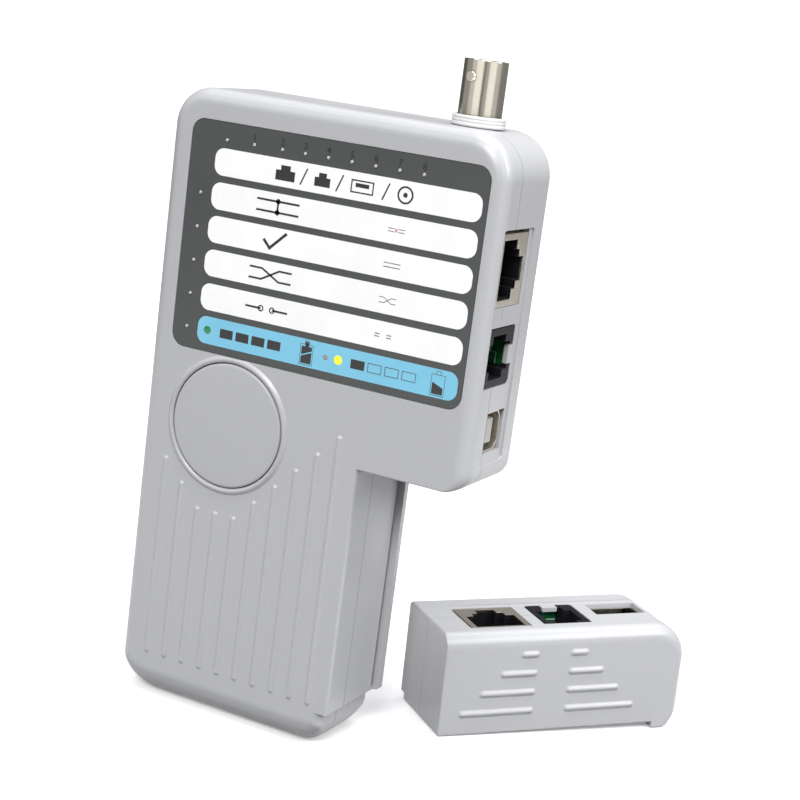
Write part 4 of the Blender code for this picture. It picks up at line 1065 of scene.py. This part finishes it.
def remote():
    rest = remote_matrix()
    ports = rest @ Matrix.Translation((0, 0, REMOTE_THICK))
    flat = Matrix.Translation((0, 0, REMOTE_THICK))
    recess = ((7.9, 62.0), (4.9, 20.4))
    usb = ((46.2, 60.4), (11.4, 18.4))

    obj = solid(cover(REMOTE_CORNERS, REMOTE_FRONT_RADII, 0.0, REMOTE_PART_Y - SEAM / 2, round_depths(3.6, 3.07, 0.5)))
    for cutter in port_cuts(flat, REMOTE_JACKS, recess, usb):
        combine(obj, cutter)
    soften(obj, 0.14)
    piece(obj, "remote_front_cover", "shell", "remote", rest, ("remote_front_shell",))

    bm = bmesh.new()
    for row in range(4):
        z = 5.5 + 4.95 * row
        for start, end in ((4.9 + 5.07 * row, 25.2), (33.7, 53.5 - 4.9 * row)):
            soft_rib(bm, start, end, lambda along, side, level, z=z: (along, -level, z + side), 0.88)
    quick_piece("remote_ribs", bm, "shell", "remote", rest, angle=60)

    obj = solid(cover(REMOTE_CORNERS, REMOTE_BACK_RADII, DEPTH, REMOTE_PART_Y + SEAM / 2, round_depths(2.05, 1.2, 0.5)))
    bm = bmesh.new()
    box(bm, (1.0, 20.6, 1.0), (HOOK_X + 2.5, DEPTH - 1.0, 3.6))
    combine(obj, bm, "UNION")
    bm = bmesh.new()
    for centre in REMOTE_SCREWS:
        lathe(bm, "y", centre, [(3.7, REMOTE_PART_Y + 0.5), (3.7, DEPTH - WALL + 0.5)], 32)
    combine(obj, bm, "UNION")
    bm = bmesh.new()
    for centre in REMOTE_SCREWS:
        lathe(bm, "y", centre, [(1.35, REMOTE_PART_Y - 2), (1.35, 17.0), (2.6, 17.0), (2.6, DEPTH + 2)], 48)
    box(bm, (-1.0, DEPTH - 2.6, -1.0), (HOOK_X - 0.1, DEPTH + 1.0, 1.9))
    combine(obj, bm)
    for cutter in port_cuts(flat, REMOTE_JACKS, recess, usb):
        combine(obj, cutter)
    soften(obj, 0.14)
    piece(obj, "remote_rear_cover", "shell", "remote", rest, ("remote_rear_shell",))

    eight_way("remote_eight_way", ports, "remote", REMOTE_JACKS["x45"], REMOTE_JACKS["y45"], "remote_")
    six_way("remote_six_way", ports, "remote", REMOTE_JACKS["x11"], REMOTE_JACKS["y11"], "remote_")
    board("remote_port_board", ports, "remote", (3.0, 59.0), 19.4, (-15.0, -2.2),
          REMOTE_JACKS["x11"] + RJ11_W / 2, "remote_board")
    usb_flat(ports)
    for i, centre in enumerate(REMOTE_SCREWS):
        screw(f"remote_fixing_{i + 1}", centre, 17.0 + GAP, 9.6, "remote", f"remote_screw_{i + 1}", rest)


def usb_flat(matrix):
    x0, y0 = 46.4, 11.8
    top = JACK_TOP - 1.0
    low = top - 11.4
    w, h, s = 13.7, 6.2, 0.4
    bm = bmesh.new()
    prism(bm, rounded((x0, x0 + w), (y0, y0 + h), 0.5, 4), "z", low, top)
    obj = solid(bm)
    bm = bmesh.new()
    box(bm, (x0 + s, y0 + s, low + 0.5), (x0 + w - s, y0 + h - s, top + 1))
    combine(obj, bm)
    soften(obj, 0.08)
    piece(obj, "usb_flat_shell", "nickel", "remote", matrix, ("remote_usb_shell",))
    base = low + 0.5 + GAP
    bm = bmesh.new()
    box(bm, (x0 + 0.8, y0 + 0.8, base), (x0 + w - 0.8, y0 + h - 0.8, base + 1.6))
    box(bm, (x0 + 1.3, y0 + 0.9, base + 1.0), (x0 + w - 1.3, y0 + 2.7, top - 0.5))
    obj = solid(bm)
    soften(obj, 0.15)
    piece(obj, "usb_flat_block", "white", "remote", matrix, ("remote_usb_tongue",))
    bm = bmesh.new()
    for x in (x0 + 3.2, x0 + 8.6):
        lathe(bm, "z", (x, y0 + 2.7), [(0.95, top - 4.0), (0.95, top - 0.9), (0.8, top - 0.6), (0.4, top - 0.5)], 24)
    quick_piece("usb_flat_bumps", bm, "white", "remote", matrix, angle=50)


# ================================================================ stage, light and camera


def stage():
    """Pale floor that curves up behind into a backdrop."""
    n = Nodes("studio_paper")
    fibre = n.noise(900.0, 4.0, 0.6)
    cloud = n.noise(2.0, 2.0, 0.5)
    base = n.mix(n.span(cloud, 0.0, 1.0), (0.86, 0.86, 0.865), (0.9, 0.9, 0.9))
    n.set(Base_Color=base, Roughness=0.9, Normal=n.bump(fibre, 0.00003, 0.3))
    n.shader.inputs["Emission Color"].default_value = (1.0, 1.0, 1.0, 1.0)
    n.shader.inputs["Emission Strength"].default_value = 0.22
    n.mat.cycles.emission_sampling = "NONE"
    bm = bmesh.new()
    profile = [(-9.0, 0.0), (1.1, 0.0)]
    profile += [(1.1 + 0.6 * math.sin(t), 0.6 - 0.6 * math.cos(t)) for t in [math.pi / 2 * k / 16 for k in range(1, 17)]]
    profile += [(1.7, 3.0)]
    rows = [[bm.verts.new((x, y, z)) for x in (-9.0, 9.0)] for y, z in profile]
    for a, b in zip(rows, rows[1:]):
        bm.faces.new((a[0], a[1], b[1], b[0]))
    mesh = bpy.data.meshes.new("studio_floor")
    bm.to_mesh(mesh)
    bm.free()
    mesh.shade_smooth()
    mesh.materials.append(n.mat)
    obj = bpy.data.objects.new("studio_floor", mesh)
    bpy.context.scene.collection.objects.link(obj)
    obj.location.z = -0.0001
    obj.visible_diffuse = False


def area(name, place_m, target, size, power, color=(1, 1, 1)):
    data = bpy.data.lights.new(name, "AREA")
    data.shape = "RECTANGLE"
    data.size, data.size_y = size
    data.energy = power
    data.color = color
    obj = bpy.data.objects.new(name, data)
    bpy.context.scene.collection.objects.link(obj)
    obj.location = place_m
    aim = Vector(target) - Vector(place_m)
    obj.rotation_euler = aim.to_track_quat("-Z", "Y").to_euler()


def flag(name, radius, start, end, low, high, strength, color=(1.0, 0.97, 0.93)):
    """Curved studio card that only shows in reflections. Angles are degrees clockwise from the front."""
    mat = bpy.data.materials.new(name)
    mat.use_nodes = True
    mat.cycles.emission_sampling = "NONE"
    tree = mat.node_tree
    tree.nodes.remove(tree.nodes["Principled BSDF"])
    glow = tree.nodes.new("ShaderNodeEmission")
    glow.inputs["Color"].default_value = (*color, 1.0)
    glow.inputs["Strength"].default_value = strength
    tree.links.new(glow.outputs[0], tree.nodes["Material Output"].inputs["Surface"])
    bm = bmesh.new()
    count = max(2, int(abs(end - start) / 6))
    columns = []
    for k in range(count + 1):
        t = math.radians(start + (end - start) * k / count)
        columns.append([bm.verts.new((BNC_X * MM + radius * math.sin(t), -radius * math.cos(t), z)) for z in (low, high)])
    for a, b in zip(columns, columns[1:]):
        bm.faces.new((a[0], b[0], b[1], a[1]))
    mesh = bpy.data.meshes.new(name)
    bm.to_mesh(mesh)
    bm.free()
    mesh.materials.append(mat)
    obj = bpy.data.objects.new(name, mesh)
    bpy.context.scene.collection.objects.link(obj)
    obj.visible_camera = False
    obj.visible_diffuse = False
    obj.visible_shadow = False
    obj.visible_transmission = False


# Ring of cards around the coaxial socket: start and end in degrees clockwise from the front, brightness.
CARDS = [(-22, 14, 1.02), (14, 27, 0.16), (27, 45, 0.4), (45, 82, 1.02), (82, 112, 0.45), (112, 170, 0.22),
         (170, 230, 0.2), (230, 270, 0.1), (270, 312, 0.3), (312, 338, 0.6)]


def lighting():
    area("key_panel", (0.25, -1.1, 0.95), (0.02, 0, 0.06), (0.5, 0.5), 15.7)
    area("strip_panel", (0.47, 0.05, 0.35), (0.03, 0, 0.08), (0.2, 0.3), 1.75)
    area("left_panel", (-1.1, -0.6, 0.6), (0, 0, 0.08), (0.4, 0.9), 1.2)
    area("top_panel", (0.12, -0.25, 1.3), (0.0, 0.02, 0.05), (0.6, 0.5), 9.0)
    area("back_panel", (0.3, 0.9, 1.6), (0.1, 1.7, 0.3), (2.2, 0.8), 22.0)
    for i, (start, end, strength) in enumerate(CARDS):
        flag(f"card_{i + 1}", 0.5, start, end, 0.0, 0.6, strength)
    world = bpy.data.worlds.new("studio_world")
    world.use_nodes = True
    tree = world.node_tree
    sky = tree.nodes["Background"]
    sky.inputs["Color"].default_value = (0.95, 0.97, 1.0, 1.0)
    split = tree.nodes.new("ShaderNodeSeparateXYZ")
    fade = tree.nodes.new("ShaderNodeMapRange")
    for key, value in (("From Min", -0.3), ("From Max", 0.1), ("To Min", 0.08), ("To Max", 0.5)):
        fade.inputs[key].default_value = value
    tree.links.new(tree.nodes.new("ShaderNodeTexCoord").outputs["Generated"], split.inputs[0])
    tree.links.new(split.outputs["Z"], fade.inputs["Value"])
    tree.links.new(fade.outputs["Result"], sky.inputs["Strength"])
    bpy.context.scene.world = world


CAMERA = {"yaw": 25.9, "pitch": 12.5, "roll": 7.5, "target": (0.0184, 0.0, 0.0840), "distance": 0.397,
          "focal": 1740.0}


def camera():
    yaw, pitch, roll = (math.radians(CAMERA[k]) for k in ("yaw", "pitch", "roll"))
    forward = Vector((-math.sin(yaw) * math.cos(pitch), math.cos(yaw) * math.cos(pitch), -math.sin(pitch)))
    side = Vector((math.cos(yaw), math.sin(yaw), 0))
    up = side.cross(forward)
    right = side * math.cos(roll) + up * math.sin(roll)
    up = up * math.cos(roll) - side * math.sin(roll)
    rotation = Matrix((right, up, -forward)).transposed()
    data = bpy.data.cameras.new("camera")
    data.sensor_width = 36.0
    data.lens = CAMERA["focal"] / 800.0 * 36.0
    data.clip_start = 0.01
    obj = bpy.data.objects.new("camera", data)
    bpy.context.scene.collection.objects.link(obj)
    obj.matrix_world = Matrix.Translation(Vector(CAMERA["target"]) - forward * CAMERA["distance"]) @ rotation.to_4x4()
    bpy.context.scene.camera = obj
    bpy.context.scene.view_settings.view_transform = "Standard"


def dress_frame():
    """Detailed materials for the CAD pieces that stay."""
    by_slot = {s["node"]: s["material_slot"] for s in frame["record"]["subparts"]}
    for node, obj in frame["nodes"].items():
        obj.data.materials.clear()
        obj.data.materials.append(M[by_slot[node]])


def main():
    camera()
    dress_frame()
    main_front()
    main_rear()
    label()
    leds()
    button()
    door()
    bnc()
    eight_way("eight_way", PORTS, "main", JACKS["x45"], JACKS["y45"], "")
    six_way("six_way", PORTS, "main", JACKS["x11"], JACKS["y11"], "")
    board("side_port_board", PORTS, "main", (8.8, 62.0), 17.4, (-16.0, -2.2), JACKS["x11"] + RJ11_W / 2, "port_board")
    usb_square(PORTS)
    for i, centre in enumerate(SCREWS):
        screw(f"fixing_{i + 1}", centre, 2.0 + GAP, 10.6, "main", f"screw_{i + 1}")
    remote()
    stage()
    lighting()


main()
